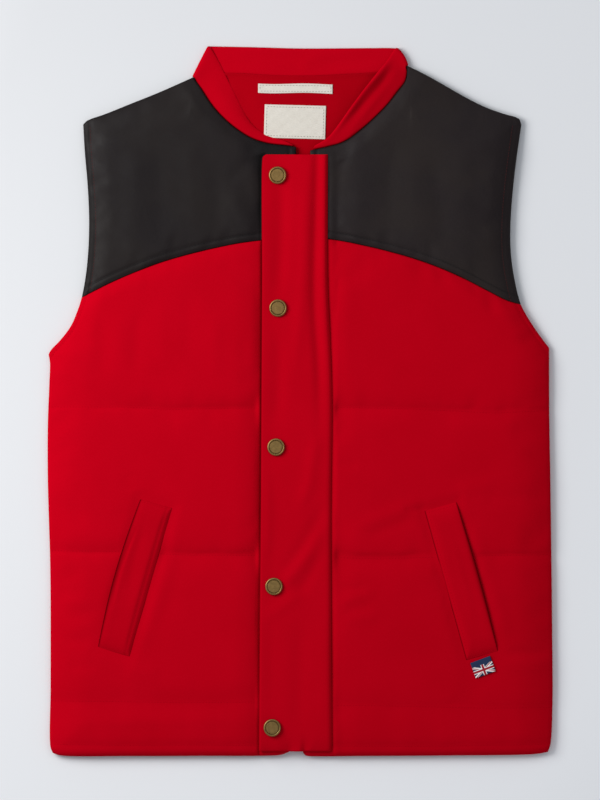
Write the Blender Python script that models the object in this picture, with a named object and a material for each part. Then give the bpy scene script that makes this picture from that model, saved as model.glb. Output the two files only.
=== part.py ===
"""A padded gilet laid flat on its back: red body, dark shoulder yokes, stand collar, snap placket.

The back lies on the ground and the two fronts lie on the back, each as a padded wall that thins
towards its seams. The frame is +X to the wearer's left, +Y towards the collar and +Z up, with
the origin on the ground under the middle of the garment. Tables and sizes here are millimetres.
"""
import math

import bmesh
import bpy
import numpy as np
from mathutils import Vector

MM = 0.001                      # one millimetre in Blender's metres

# ---------------------------------------------------------------- driving dimensions
GAP = 0.3                       # parting between two pieces that meet at a seam
LIFT = 0.5                      # parting under a piece that lies on a curved panel
BACK_LIFT = 0.4                 # parting between the back and the fronts that lie on it
QUILT_Y = (-6.6, -159.8, -319.3)    # the three quilting lines across the body
QUILT_DEPTH = 2.6               # how far a quilting line pulls the padding down
QUILT_WIDTH = 12.0              # distance over which that dip fades

SEAM_Z = 3.6                    # top of the back wall at the outline
INNER_Z = 6.8                   # top of the back wall well inside the outline
INNER_REACH = 60.0              # distance from the outline over which it rises
FRONT_WALL = 8.0                # padded thickness of a front
PARTING_X = 2.0                 # between the two front edges
# Where a front thins: its edge, the share of thickness left there, the distance over which it thins
FRONT_EDGES = [("side", 0.42, 42.0), ("armhole", 0.45, 24.0), ("shoulder", 0.45, 40.0),
               ("yoke", 0.74, 14.0), ("hem", 0.45, 22.0), ("neck", 0.60, 18.0)]
LEVEL_EDGES = ("hem", "neck")   # the only ones that still count under the placket
RIM_DROP = 1.0                  # how much lower the outermost ring of a panel's upper face is
UNDER_LIFT = 0.5                # how much higher the outermost ring of its lower face is
BACK_RIM_LIFT = 1.2             # the same for the outer face of the back
BACK_GROOVE = 1.2               # depth of the quilting lines in the outer face of the back

FACING_WALL = 1.0
FACING_HALF_WIDTH = 108.0       # the back-neck facing is half an ellipse
FACING_DEPTH = 118.0
FACING_TOP_Y = 346.0
FACING_RECESS = (1.50, 1.22)    # the back yoke sinks under it between these multiples of the ellipse

PLACKET_WALL = 2.8
PLACKET_RIM = 0.9               # how far its edges are rounded off
PLACKET_MIDDLE_X = -4.0
PLACKET_BED = 6.4               # thickness of the fronts where the placket lies on them
BED_HALF_WIDTH = 36.0           # the bed reaches this far to each side of the placket's middle
BED_SHOULDER = 30.0             # distance over which a front swells from the bed to its full wall
# The placket's long valley beside its seam: height on the garment, x of its bottom
TROUGH = [(0.0, 18.5), (30.0, 17.8), (110.0, 13.4), (262.0, 16.7)]
TROUGH_DEPTH = 1.5
TROUGH_WIDTH = 4.5
TROUGH_START_Y = 2.0            # it deepens from here up, over the reach
TROUGH_REACH = 60.0
CREASE = [(23.0, -152.5), (-14.0, -204.0)]      # the placket's slanted fold, from end to end
CREASE_WIDTH = 6.0
CREASE_RISE = 1.1
CREASE_DIP = 0.6                # the hollow beside it
CREASE_DIP_OFF = 11.0           # distance from the fold to that hollow

WELT_WALL = 2.6
WELT_LENGTH = 164.0
WELT_WIDTH = 35.0
WELT_BOW = 2.4                  # how far the open edge of a welt bows out at its middle
WELT_LIFT = 1.6                 # how far that edge stands off the front
WELT_RIM = 0.8                  # how far its edges are rounded off
LABEL_WALL = 1.0
FLAG_WALL = 1.4                 # a tape folded double

COLLAR_WALL = 3.2
COLLAR_RIM = (0.4, 0.8)         # how much its half thickness shrinks, at the seam and at the free edge
COLLAR_START = 0.045            # the collar starts this share of the neckline from the front edge
COLLAR_FLARE = 1.6              # above 1, it leaves the seam flat and rises towards its free edge
COLLAR_SINK = 2.3               # the collar leaves the neck seam this far under the yoke's top
COLLAR_BACK_Z = (2.0, 1.65)     # middle of the wall behind the neck, at the seam and at the free edge
COLLAR_ROLL = (2.6, 4.6)        # radius of the fold at each side of the neck, at the same two places
# How far the free edge over the fronts stands above the seam: share of the way from the front, rise
COLLAR_RISE = [(0.0, 4.0), (0.12, 6.5), (0.4, 6.5), (1.0, 2.8)]

SNAP_RADIUS = 9.25
SNAP_HEIGHT = 2.6
SNAP_TURNS = 24                 # sides of a snap cap

RING = (0.0, 2.5, 8.0, 18.0)    # distances from an edge of the first grid lines beside it
MEETING = (0.0, 12.0)           # the same at the side of the neck, where shoulder meets neckline
HEM_ROWS = (2.6, 8.0, 16.0, 26.0)               # heights of sections above the hem
QUILT_ROWS = (-36.0, -18.0, -7.0, 0.0, 7.0, 18.0, 36.0)     # and beside each quilting line
BODY_ROWS = (-96.0, -70.0, -238.0, -212.0)      # and between those
ARMHOLE_ROWS = (0.0, 0.08, 0.26, 0.46, 0.66, 0.84, 0.95, 1.0)   # and as shares, underarm to yoke seam
BACK_UNDERARM_Y = 55.0

# ---------------------------------------------------------------- outline and seams, as (x, y)
# "right" and "left" are the wearer's, so the right front is on the -X side.
SIDE_RIGHT = [(-262.5, -372.5), (-265.0, -366.0), (-264.9, -300.0), (-265.2, -180.0), (-267.9, -80.0),
              (-267.8, -22.0), (-266.2, 20.0), (-265.2, 53.0)]
SIDE_LEFT = [(262.5, -371.5), (265.3, -364.0), (267.6, -322.0), (267.3, -245.0), (265.6, -100.0),
             (264.2, -11.0), (264.0, 57.0)]
ARMHOLE_RIGHT = [(-265.2, 53.0), (-255.1, 64.7), (-243.6, 79.9), (-236.5, 96.0), (-231.9, 110.4),
                 (-227.2, 136.3), (-224.6, 165.0), (-224.0, 195.0), (-225.6, 230.0), (-228.6, 265.0),
                 (-230.3, 294.0)]
ARMHOLE_LEFT = [(264.0, 57.0), (251.0, 74.6), (241.0, 90.0), (234.2, 103.0), (227.6, 128.0),
                (223.4, 157.0), (222.8, 184.0), (224.6, 215.0), (229.0, 255.0), (234.6, 294.0)]
SHOULDER_RIGHT = [(-230.3, 294.0), (-226.0, 298.2), (-207.4, 305.0), (-179.0, 316.4), (-148.7, 328.6),
                  (-113.6, 344.2)]
SHOULDER_LEFT = [(234.6, 294.0), (231.5, 300.5), (217.5, 304.9), (198.5, 311.6), (179.5, 320.6),
                 (151.2, 336.6), (132.2, 347.2), (113.6, 356.4)]
NECK_RIGHT = [(-113.6, 344.2), (-104.7, 331.2), (-93.5, 314.2), (-79.6, 299.2), (-66.5, 288.4),
              (-50.6, 278.9), (-33.1, 273.6), (-18.9, 271.8), (-8.0, 269.6), (-3.6, 264.6)]
NECK_LEFT = [(113.6, 356.4), (112.2, 341.5), (102.2, 327.6), (92.3, 314.8), (78.0, 300.4),
             (62.2, 286.6), (46.3, 276.0), (30.4, 271.6), (16.5, 269.4), (10.2, 264.2)]
YOKE_RIGHT = [(-231.9, 110.4), (-199.9, 126.4), (-172.5, 138.2), (-145.5, 148.2), (-117.9, 156.2),
              (-90.4, 162.8), (-63.0, 168.2), (-35.0, 171.6), (-4.6, 173.6)]
YOKE_LEFT = [(234.2, 103.0), (219.5, 107.2), (201.9, 116.0), (175.5, 129.6), (149.2, 141.4),
             (122.7, 151.0), (96.4, 158.6), (70.0, 165.0), (40.0, 171.0), (8.9, 174.6)]
FRONT_RIGHT = [(-12.1, -371.4), (-8.0, -60.0), (-4.6, 173.6), (-3.6, 264.6)]
FRONT_LEFT = [(2.9, -372.0), (5.6, -60.0), (8.9, 174.6), (10.2, 264.2)]
HEM_RIGHT = [(-262.5, -372.5), (-255.0, -375.0), (-180.0, -375.8), (-100.0, -375.6), (-32.4, -375.4),
             (-20.0, -374.4), (-12.1, -371.4)]
HEM_LEFT = [(262.5, -371.5), (250.0, -373.6), (160.0, -375.2), (60.0, -375.8), (12.0, -376.0),
            (5.6, -375.2), (2.9, -372.0)]
BACK_NECK = [(-113.6, 344.2), (-79.8, 347.4), (-32.0, 345.2), (0.0, 344.4), (42.1, 345.8),
             (81.4, 348.6), (113.6, 356.4)]
BACK_YOKE = [(-231.9, 110.4), (-160.0, 131.0), (-80.0, 145.0), (0.0, 150.0), (80.0, 144.0),
             (160.0, 128.0), (234.2, 103.0)]
BACK_HEM = [(-262.5, -366.5), (-250.0, -370.0), (0.0, -370.6), (250.0, -369.6), (262.5, -365.5)]

# The free edge of the collar: over the right front, behind the neck, and over the left front.
COLLAR_FREE_RIGHT = [(-8.6, 272.6), (-16.2, 276.4), (-30.2, 280.8), (-39.5, 285.2), (-46.9, 290.2),
                     (-53.9, 297.6), (-69.7, 327.8), (-79.2, 346.9), (-87.5, 364.0)]
COLLAR_FREE_BACK = [(-92.0, 375.2), (-53.3, 374.4), (0.0, 373.0), (52.7, 373.4), (101.0, 373.6)]
COLLAR_FREE_LEFT = [(15.6, 271.6), (28.4, 279.6), (38.3, 291.0), (54.0, 313.0), (70.8, 335.4),
                    (85.0, 353.2), (95.5, 366.0)]
COLLAR_CORNERS = {"right": (-96.4, 375.6), "left": (104.6, 373.2)}  # where the free edge folds over

PLACKET_OUTER = [(-43.6, -370.6), (-42.1, -125.0), (-40.8, 129.0), (-40.4, 262.0)]
PLACKET_SEAM = [(34.2, -370.6), (33.1, -125.0), (34.2, 2.0), (32.3, 65.5), (29.6, 129.0), (29.4, 262.0)]

SNAP_PLACES = [(-24.1, 239.8), (-23.6, 99.2), (-25.7, -48.0), (-27.9, -195.5), (-29.7, -345.1)]
WELT_PLACES = {"right": ((-174.9, -186.4), 16.0), "left": ((170.6, -190.0), -15.6)}
NECK_LABEL = ((-5.6, 296.8), 65.0, 35.5, -1.5)      # centre, width, height, turn in degrees
STRIP_LABEL = ((-5.2, 332.2), 79.0, 10.0, -0.6)
FLAG_LABEL = ((193.4, -280.9), 22.4, 17.2, 20.4)

# ---------------------------------------------------------------- finishes: colour, roughness, metallic
RED_CLOTH = ((0.47, 0.003, 0.012, 1.0), 0.9, 0.0)
DARK_CLOTH = ((0.022, 0.019, 0.019, 1.0), 0.6, 0.0)
CREAM_TAPE = ((0.72, 0.70, 0.64, 1.0), 0.8, 0.0)
NAVY_TAPE = ((0.015, 0.03, 0.09, 1.0), 0.7, 0.0)
OLD_BRASS = ((0.25, 0.17, 0.07, 1.0), 0.4, 1.0)


# ================================================================ curves
def smooth_line(points, per_span=12):
    """A curve through the points, as many short straight steps. Uneven spans don't overshoot."""
    p = np.array(points, float)
    chord = np.diff(p, axis=0)
    knots = np.sqrt(np.linalg.norm(chord, axis=1))[:, None]
    slope = chord / knots
    inner = (slope[:-1] * knots[1:] + slope[1:] * knots[:-1]) / (knots[:-1] + knots[1:])
    tangent = np.vstack([slope[:1], inner, slope[-1:]])
    t = np.linspace(0, 1, per_span, endpoint=False)[:, None]
    spans = []
    for k in range(len(chord)):
        lean_in, lean_out = knots[k] * tangent[k], knots[k] * tangent[k + 1]
        spans.append(p[k] + lean_in * t + (3 * chord[k] - 2 * lean_in - lean_out) * t ** 2
                     + (lean_in + lean_out - 2 * chord[k]) * t ** 3)
    return np.vstack(spans + [p[-1:]])


def arc_length(line):
    """The distance travelled at each point of a line."""
    return np.concatenate([[0.0], np.cumsum(np.linalg.norm(np.diff(line, axis=0), axis=1))])


def along(line, fractions):
    """Points at these fractions of a line's length."""
    travelled = arc_length(line)
    at = np.asarray(fractions) * travelled[-1]
    return np.stack([np.interp(at, travelled, line[:, k]) for k in range(line.shape[1])], axis=-1)


def at_height(line, y):
    """The point of a side edge at height y."""
    order = np.argsort(line[:, 1])
    return np.array([np.interp(y, line[order, 1], line[order, 0]), y])


def stations(length, count, first=RING, last=RING):
    """Fractions of a length: fixed distances beside the two ends, even steps between."""
    start, end = np.array(first), length - np.array(last)[::-1]
    middle = np.linspace(start[-1], end[0], count - len(first) - len(last) + 2)[1:-1]
    return np.concatenate([start, middle, end]) / length


def distance_to(line, places):
    """How far each of the places is from a line."""
    a, b = line[:-1], line[1:]
    step = b - a
    size = (step ** 2).sum(1)
    offset = places[:, None, :] - a[None]
    t = np.clip((offset * step).sum(2) / size, 0, 1)
    return np.linalg.norm(offset - t[..., None] * step, axis=2).min(1)


def ease(x):
    """0 below 0, 1 above 1, smooth between."""
    x = np.clip(x, 0, 1)
    return x * x * (3 - 2 * x)


def swell(distance, reach):
    """0 at an edge, 1 at reach and beyond, rounded like a filled edge."""
    return 1 - (1 - np.clip(distance / reach, 0, 1)) ** 2


LINES = {name: smooth_line(table) for name, table in {
    "side_right": SIDE_RIGHT, "side_left": SIDE_LEFT,
    "armhole_right": ARMHOLE_RIGHT, "armhole_left": ARMHOLE_LEFT,
    "shoulder_right": SHOULDER_RIGHT, "shoulder_left": SHOULDER_LEFT,
    "neck_right": NECK_RIGHT, "neck_left": NECK_LEFT,
    "yoke_right": YOKE_RIGHT, "yoke_left": YOKE_LEFT,
    "front_right": FRONT_RIGHT, "front_left": FRONT_LEFT,
    "hem_right": HEM_RIGHT, "hem_left": HEM_LEFT,
    "back_neck": BACK_NECK, "back_yoke": BACK_YOKE, "back_hem": BACK_HEM,
    "placket_outer": PLACKET_OUTER, "placket_seam": PLACKET_SEAM,
    "collar_free_right": COLLAR_FREE_RIGHT, "collar_free_back": COLLAR_FREE_BACK,
    "collar_free_left": COLLAR_FREE_LEFT,
}.items()}
OUTLINE = ("side_right", "side_left", "armhole_right", "armhole_left", "shoulder_right",
           "shoulder_left", "hem_right", "hem_left", "back_neck")


# ================================================================ heights
def inner_height(places):
    """Top of the back wall, and so the parting between back and fronts."""
    inside = np.min([distance_to(LINES[name], places) for name in OUTLINE], axis=0)
    return SEAM_Z + (INNER_Z - SEAM_Z) * swell(inside, INNER_REACH)


def beside_placket(places, start, reach):
    """0 up to a distance from the placket's middle, 1 beyond the reach after it."""
    return ease((np.abs(places[:, 0] - PLACKET_MIDDLE_X) - start) / reach)


def quilt_dip(places):
    """The dip of the quilting lines, which fades out under the placket."""
    away = np.abs(places[:, 1, None] - np.array(QUILT_Y)).min(1)
    return QUILT_DEPTH * np.exp(-away / QUILT_WIDTH) * beside_placket(places, BED_HALF_WIDTH + 6.0, 16.0)


def front_thickness(places, side, quilted=True):
    """Padded thickness of a front, thinner at its edges and seams and level under the placket."""
    level, rest = np.ones(len(places)), np.ones(len(places))
    for edge, left_there, reach in FRONT_EDGES:
        away = distance_to(LINES[edge + "_" + side], places)
        share = left_there + (1 - left_there) * swell(away, reach)
        if edge in LEVEL_EDGES:
            level *= share
        else:
            rest *= share
    clear = beside_placket(places, BED_HALF_WIDTH - 2.0, 10.0)
    share = level * (1 + (rest - 1) * clear)
    bed = beside_placket(places, BED_HALF_WIDTH, BED_SHOULDER)
    thick = (PLACKET_BED + (FRONT_WALL - PLACKET_BED) * bed) * share
    return thick - quilt_dip(places) * share if quilted else thick


def front_top(places, quilted=True):
    """Outer face of whichever front lies at each place."""
    right, left = (front_thickness(places, side, quilted) for side in ("right", "left"))
    wall_there = np.where(places[:, 0] > PARTING_X, left, right)
    return inner_height(places) + BACK_LIFT + wall_there


def facing_recess(places):
    """How much the back yoke gives way to the neck facing that lies on it."""
    x, y = places[:, 0] / FACING_HALF_WIDTH, (places[:, 1] - FACING_TOP_Y) / FACING_DEPTH
    outer, inner = FACING_RECESS
    return (FACING_WALL + 3 * GAP) * ease((outer - np.hypot(x, y)) / (outer - inner))


# ================================================================ solids
def add_object(name, mesh, finish):
    """An object with a material of its own: finish is (colour, roughness, metallic)."""
    made = bpy.data.materials.new(name)
    made.use_nodes = True
    shader = made.node_tree.nodes["Principled BSDF"]
    for socket, value in zip(("Base Color", "Roughness", "Metallic"), finish):
        shader.inputs[socket].default_value = value
    mesh.materials.append(made)
    mesh.shade_smooth()
    mesh.set_sharp_from_angle(angle=math.radians(50))
    placed = bpy.data.objects.new(name, mesh)
    bpy.context.scene.collection.objects.link(placed)
    return placed


def wall(name, lower, upper, finish):
    """A closed wall between two grids of points, rows by columns by 3."""
    rows, columns = upper.shape[:2]
    count = rows * columns
    grid = np.arange(count).reshape(rows, columns)
    faces = []
    for j in range(rows - 1):
        for i in range(columns - 1):
            a, b, c, d = grid[j, i], grid[j, i + 1], grid[j + 1, i + 1], grid[j + 1, i]
            faces.append((a, b, c, d))
            faces.append((d + count, c + count, b + count, a + count))
    rim = np.concatenate([grid[0, :-1], grid[:-1, -1], grid[-1, :0:-1], grid[:0:-1, 0]])
    for a, b in zip(rim, np.roll(rim, -1)):
        faces.append((b, a, a + count, b + count))
    points = np.vstack([upper.reshape(-1, 3), lower.reshape(-1, 3)])
    mesh = bpy.data.meshes.new(name)
    mesh.from_pydata(points * MM, [], [[int(v) for v in face] for face in faces])
    outwards(mesh)
    return add_object(name, mesh, finish)


def outwards(mesh):
    """Turns a closed mesh's faces to point out."""
    held = bmesh.new()
    held.from_mesh(mesh)
    bmesh.ops.recalc_face_normals(held, faces=held.faces)
    if held.calc_volume(signed=True) < 0:
        bmesh.ops.reverse_faces(held, faces=held.faces)
    held.to_mesh(mesh)
    held.free()


def parted(plan, inset):
    """The plan grid with its border drawn in, so that neighbours part at the seam."""
    grid = plan.copy()
    for border, beside in ((np.s_[0, :], np.s_[1, :]), (np.s_[-1, :], np.s_[-2, :]),
                           (np.s_[:, 0], np.s_[:, 1]), (np.s_[:, -1], np.s_[:, -2])):
        step = plan[beside] - plan[border]
        grid[border] += inset * step / np.linalg.norm(step, axis=-1, keepdims=True)
    return grid


def with_height(plan, height):
    return np.concatenate([plan, height.reshape(plan.shape[:2])[..., None]], axis=2)


def rounded(height, shape, drop):
    """Heights with the border ring lowered, or raised by a negative drop."""
    grid = height.reshape(shape).copy()
    border = np.zeros(shape, bool)
    border[[0, -1], :] = border[:, [0, -1]] = True
    grid[border] -= drop
    return grid


# ================================================================ grids of the panels
def section_grid(rows, left_of, right_of, bottom, top, columns):
    """Sections from one edge to the other.

    Each row is (height, height at the far edge, share of the bottom curve, share of the top curve).
    """
    made = []
    for near_y, far_y, low_share, high_share in rows:
        a, b = left_of(near_y), right_of(far_y)
        u = stations(np.linalg.norm(b - a), columns)[:, None]
        section = a + (b - a) * u
        for share, curve in ((low_share, bottom), (high_share, top)):
            if share:
                length = arc_length(curve)[-1]
                on_curve = along(curve, stations(length, columns))
                chord = curve[0] + (curve[-1] - curve[0]) * u
                section = section + share * (on_curve - chord)
        made.append(section)
    return np.array(made)


def body_rows(hem, hem_far, underarm, top_near, top_far):
    """Sections of a lower panel, as section_grid takes them, from its hem to its yoke seam."""
    levels = {hem + d for d in HEM_ROWS} | {y + d for y in QUILT_Y for d in QUILT_ROWS}
    levels = sorted(levels | set(BODY_ROWS) | {underarm - 4.0})
    rows = [(hem, hem_far, 1.0, 0.0)]
    rows += [(y, y, max(0.0, 1 - (y - hem) / 12.0), 0.0) for y in levels if y < underarm - 3.0]
    for share in ARMHOLE_ROWS:
        near = underarm + (top_near - underarm) * share
        far = underarm + (top_far - underarm) * share
        rows.append((near, far, 0.0, ease(share)))
    return rows


def joined(*names):
    lines = [LINES[name] for name in names]
    return np.vstack([lines[0]] + [line[1:] for line in lines[1:]])


def front_body_plan(side):
    """Sections from the side seam to the front edge."""
    outer, front = joined("side_" + side, "armhole_" + side), LINES["front_" + side]
    seam, hem = LINES["yoke_" + side], LINES["hem_" + side]
    underarm = LINES["side_" + side][-1, 1]
    rows = body_rows(hem[0, 1], hem[-1, 1], underarm, seam[0, 1], seam[-1, 1])
    return section_grid(rows, lambda y: at_height(outer, y), lambda y: at_height(front, y),
                        hem, seam, 15)


def yoke_plan(side):
    """Columns from the yoke seam up to the shoulder and the neckline."""
    seam = LINES["yoke_" + side]
    shoulder, neck = LINES["shoulder_" + side], LINES["neck_" + side]
    on_shoulder, on_neck, rows = 8, 14, 11
    low = along(seam, stations(arc_length(seam)[-1], on_shoulder + on_neck - 1))
    to_neck = along(shoulder, stations(arc_length(shoulder)[-1], on_shoulder, RING, MEETING))
    to_front = along(neck, stations(arc_length(neck)[-1], on_neck, MEETING, RING))
    plan = columns_between(low, np.vstack([to_neck, to_front[1:]]), rows)
    pull_to_edge(plan, 0, LINES["armhole_" + side], 2)
    pull_to_edge(plan, -1, LINES["front_" + side], 6)
    return plan


def columns_between(low, high, rows):
    """A plan of straight columns from the low points to the high ones."""
    levels = np.array([stations(np.linalg.norm(b - a), rows) for a, b in zip(low, high)])
    return low + (high - low) * levels.T[..., None]


def pull_to_edge(plan, column, edge, fade):
    """Moves the first or last column onto an edge, and those beside it by less."""
    target = np.array([at_height(edge, y) for y in plan[:, column, 1]])
    weight = np.linspace(1, 0, plan.shape[1]) ** fade
    if column:
        weight = weight[::-1]
    plan += (target - plan[:, column])[:, None] * weight[None, :, None]


def back_body_plan():
    """Sections from the right side seam to the left one."""
    right, left = joined("side_right", "armhole_right"), joined("side_left", "armhole_left")
    seam, hem = LINES["back_yoke"], LINES["back_hem"]
    rows = body_rows(hem[0, 1], hem[-1, 1], BACK_UNDERARM_Y, seam[0, 1], seam[-1, 1])
    return section_grid(rows, lambda y: at_height(right, y), lambda y: at_height(left, y),
                        hem, seam, 18)


def back_yoke_plan():
    """Columns from the back yoke seam up to the two shoulders and the back neck."""
    seam, neck = LINES["back_yoke"], LINES["back_neck"]
    on_shoulder, on_neck, rows = 8, 8, 11
    low = along(seam, stations(arc_length(seam)[-1], 2 * on_shoulder + on_neck - 2))
    tips = []
    for side in ("right", "left"):
        line = LINES["shoulder_" + side]
        tips.append(along(line, stations(arc_length(line)[-1], on_shoulder, RING, MEETING)))
    across = along(neck, np.linspace(0, 1, on_neck))
    plan = columns_between(low, np.vstack([tips[0], across[1:-1], tips[1][::-1]]), rows)
    pull_to_edge(plan, 0, LINES["armhole_right"], 3)
    pull_to_edge(plan, -1, LINES["armhole_left"], 3)
    return plan


# ================================================================ pieces
def front_panel(name, plan, finish):
    plan = parted(plan, GAP / 2)
    places = plan.reshape(-1, 2)
    shape = plan.shape[:2]
    lower = rounded(inner_height(places) + BACK_LIFT, shape, -UNDER_LIFT)
    upper = rounded(front_top(places), shape, RIM_DROP)
    return wall(name, with_height(plan, lower), with_height(plan, upper), finish)


def back_panel(name, plan, finish, quilted):
    """A back wall. Its outer face is flat on the ground but for its rounded rim and its quilting."""
    plan = parted(plan, GAP / 2)
    places = plan.reshape(-1, 2)
    shape = plan.shape[:2]
    away = np.abs(places[:, 1, None] - np.array(QUILT_Y)).min(1)
    groove = quilted * BACK_GROOVE * np.clip(1 - away / 7.0, 0, 1)
    lower = rounded(groove, shape, -BACK_RIM_LIFT)
    top = inner_height(places) - (0.0 if quilted else facing_recess(places))
    return wall(name, with_height(plan, lower), with_height(plan, top), finish)


def neck_facing(finish):
    """The facing inside the back neck, seen through the neck opening, hung from the neck seam."""
    across = np.linspace(0.03, 0.97, 15)
    neck = along(LINES["back_neck"], across) - (0.0, GAP)
    angle = np.pi * np.linspace(1, 0, len(across))
    hem = np.stack([FACING_HALF_WIDTH * np.cos(angle),
                    FACING_TOP_Y - FACING_DEPTH * np.sin(angle) ** 0.75], axis=1)
    hem[[0, -1], 1] -= 12.0     # the facing's two ends are short straight sides
    down = np.array([0.0, 0.05, 0.16, 0.3, 0.45, 0.6, 0.75, 0.9, 1.0])[:, None, None]
    plan = neck + (hem - neck) * down
    top = inner_height(plan.reshape(-1, 2)) - GAP
    return wall("neck_facing", with_height(plan, top - FACING_WALL), with_height(plan, top), finish)


def flat_piece(name, place, finish, floor_of, wall_size, columns, rows):
    """A small rectangle of cloth that lies on a panel."""
    (x, y), width, height, turn = place
    spin = math.radians(turn)
    across = np.linspace(-0.5, 0.5, columns) * width
    up = np.linspace(-0.5, 0.5, rows) * height
    u, v = np.meshgrid(across, up)
    plan = np.stack([x + u * math.cos(spin) - v * math.sin(spin),
                     y + u * math.sin(spin) + v * math.cos(spin)], axis=2)
    low = floor_of(plan.reshape(-1, 2))
    return wall(name, with_height(plan, low), with_height(plan, low + wall_size), finish)


def welt(side, finish):
    """The welt of a slanted pocket. Its outer edge bows out and stands off the front a little."""
    (x, y), lean = WELT_PLACES[side]
    out = -1 if side == "right" else 1
    across = np.array([0.0, 2.5, 8.0, 17.0, 26.0, 32.5, WELT_WIDTH])
    down = stations(WELT_LENGTH, 12, (0.0, 2.5, 12.0), (0.0, 2.5, 12.0)) * WELT_LENGTH
    u, v = np.meshgrid(across, down - WELT_LENGTH / 2)
    middle = np.cos(v / WELT_LENGTH * math.pi)
    wide = u * (1 + WELT_BOW / WELT_WIDTH * middle) - WELT_WIDTH / 2
    spin = -math.radians(lean)
    plan = np.stack([x + out * wide * math.cos(spin) - v * math.sin(spin),
                     y + out * wide * math.sin(spin) + v * math.cos(spin)], axis=2)
    shape = plan.shape[:2]
    bed = front_top(plan.reshape(-1, 2), quilted=False).reshape(shape) + LIFT
    low = bed + WELT_LIFT * ease((u - WELT_WIDTH / 2 - 4.0) / 12.0) * middle
    high = rounded(low + WELT_WALL, shape, WELT_RIM)
    return wall("welt_" + side, with_height(plan, low), with_height(plan, high), finish)


def placket_form(places):
    """Rise of the placket's face over its plain wall: a long valley and a slanted fold."""
    x, y = places.T
    centre = np.interp(y, *zip(*TROUGH))
    deepening = ease((y - TROUGH_START_Y) / TROUGH_REACH)
    valley = TROUGH_DEPTH * deepening * np.exp(-((x - centre) / TROUGH_WIDTH) ** 2)
    start, end = np.array(CREASE)
    step = end - start
    size = np.linalg.norm(step)
    run = ((x - start[0]) * step[0] + (y - start[1]) * step[1]) / size ** 2
    off = ((x - start[0]) * step[1] - (y - start[1]) * step[0]) / size
    fading = ease((run + 0.15) / 0.3) * ease((1.1 - run) / 0.3)
    fold = CREASE_RISE * np.exp(-(off / CREASE_WIDTH) ** 2)
    hollow = CREASE_DIP * np.exp(-((off + CREASE_DIP_OFF) / CREASE_WIDTH) ** 2)
    return fading * (fold - hollow) - valley


def placket_bed(places):
    """Height of what lies under the placket."""
    return front_top(places, quilted=False) + LIFT


def placket_top(places):
    return placket_bed(places) + PLACKET_WALL + placket_form(places)


def placket_plan():
    """Sections from the free edge to the seam, close together at the ends, snaps and fold."""
    outer, seam = LINES["placket_outer"], LINES["placket_seam"]
    end_rows = (0.0,) + HEM_ROWS
    levels = {outer[0, 1] + d for d in end_rows} | {outer[-1, 1] - d for d in end_rows}
    levels |= {y + d for _, y in SNAP_PLACES[1:-1] for d in (-11.0, 11.0)}
    levels |= {210.0, 180.0, 150.0, 62.0, 36.0, 10.0, -16.0, -85.0}
    levels |= {-110.0, -132.0, -150.0, -166.0, -230.0, -256.0, -282.0, -310.0}
    shares = np.array([0.0, 0.035, 0.11, 0.24, 0.36, 0.5, 0.62, 0.7, 0.76, 0.81, 0.87, 0.93, 0.97, 1.0])
    rows = []
    for y in sorted(levels):
        a, b = at_height(outer, y), at_height(seam, y)
        rows.append(a + (b - a) * shares[:, None])
    return np.array(rows)


def placket(finish):
    plan = placket_plan()
    places = plan.reshape(-1, 2)
    high = rounded(placket_top(places), plan.shape[:2], PLACKET_RIM)
    return wall("placket", with_height(plan, placket_bed(places)), with_height(plan, high), finish)


def snap_cap(index, place, finish):
    """A turned cap: a rolled rim, a groove inside it and a slightly domed middle."""
    r, h = SNAP_RADIUS, SNAP_HEIGHT
    profile = [(0.0, 0.0), (r - 1.0, 0.0), (r, 0.9), (r - 0.1, 1.7), (r - 0.7, h), (r - 1.5, h - 0.1),
               (r - 2.0, h - 0.7), (r - 3.0, h - 0.55), (r * 0.35, h - 0.2), (0.0, h - 0.15)]
    turned = bmesh.new()
    points = [turned.verts.new(Vector((radius, 0.0, z)) * MM) for radius, z in profile]
    edges = [turned.edges.new(pair) for pair in zip(points, points[1:])]
    bmesh.ops.spin(turned, geom=points + edges, cent=(0, 0, 0), axis=(0, 0, 1),
                   angle=2 * math.pi, steps=SNAP_TURNS, use_merge=True)
    bmesh.ops.remove_doubles(turned, verts=turned.verts, dist=0.01 * MM)
    mesh = bpy.data.meshes.new("snap_cap")
    turned.to_mesh(mesh)
    turned.free()
    outwards(mesh)
    made = add_object("snap_%d" % (index + 1), mesh, finish)
    ring = [2 * math.pi * k / SNAP_TURNS for k in range(SNAP_TURNS)]
    under = np.array([(place[0] + share * r * math.cos(a), place[1] + share * r * math.sin(a))
                      for a in ring for share in (0.0, 0.5, 0.9)])
    made.location = Vector((place[0], place[1], placket_top(under).max() + GAP)) * MM
    return made


# ================================================================ collar
def inside_neck(line, side):
    """A neckline from the front up, moved into the neck by half the collar's wall."""
    run = np.gradient(line, axis=0)
    run /= np.linalg.norm(run, axis=1, keepdims=True)
    turn = 1.0 if side == "left" else -1.0
    return line + turn * (COLLAR_WALL / 2 + 2 * GAP) * np.stack([-run[:, 1], run[:, 0]], axis=1)


def collar_over_front(side):
    """The collar's rows from the front to near the side of the neck, as (seam point, free point)."""
    shares = np.array([0.0, 0.02, 0.08, 0.14, 0.2, 0.28, 0.36, 0.46, 0.56, 0.67, 0.78, 0.89])
    seam = along(inside_neck(LINES["neck_" + side][::-1], side),
                 COLLAR_START + (1 - COLLAR_START) * shares)
    free = along(LINES["collar_free_" + side], shares)
    seam_z = front_top(seam) - COLLAR_SINK
    free_z = seam_z + np.interp(shares, *zip(*COLLAR_RISE))
    return list(zip(np.column_stack([seam, seam_z]), np.column_stack([free, free_z])))


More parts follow.
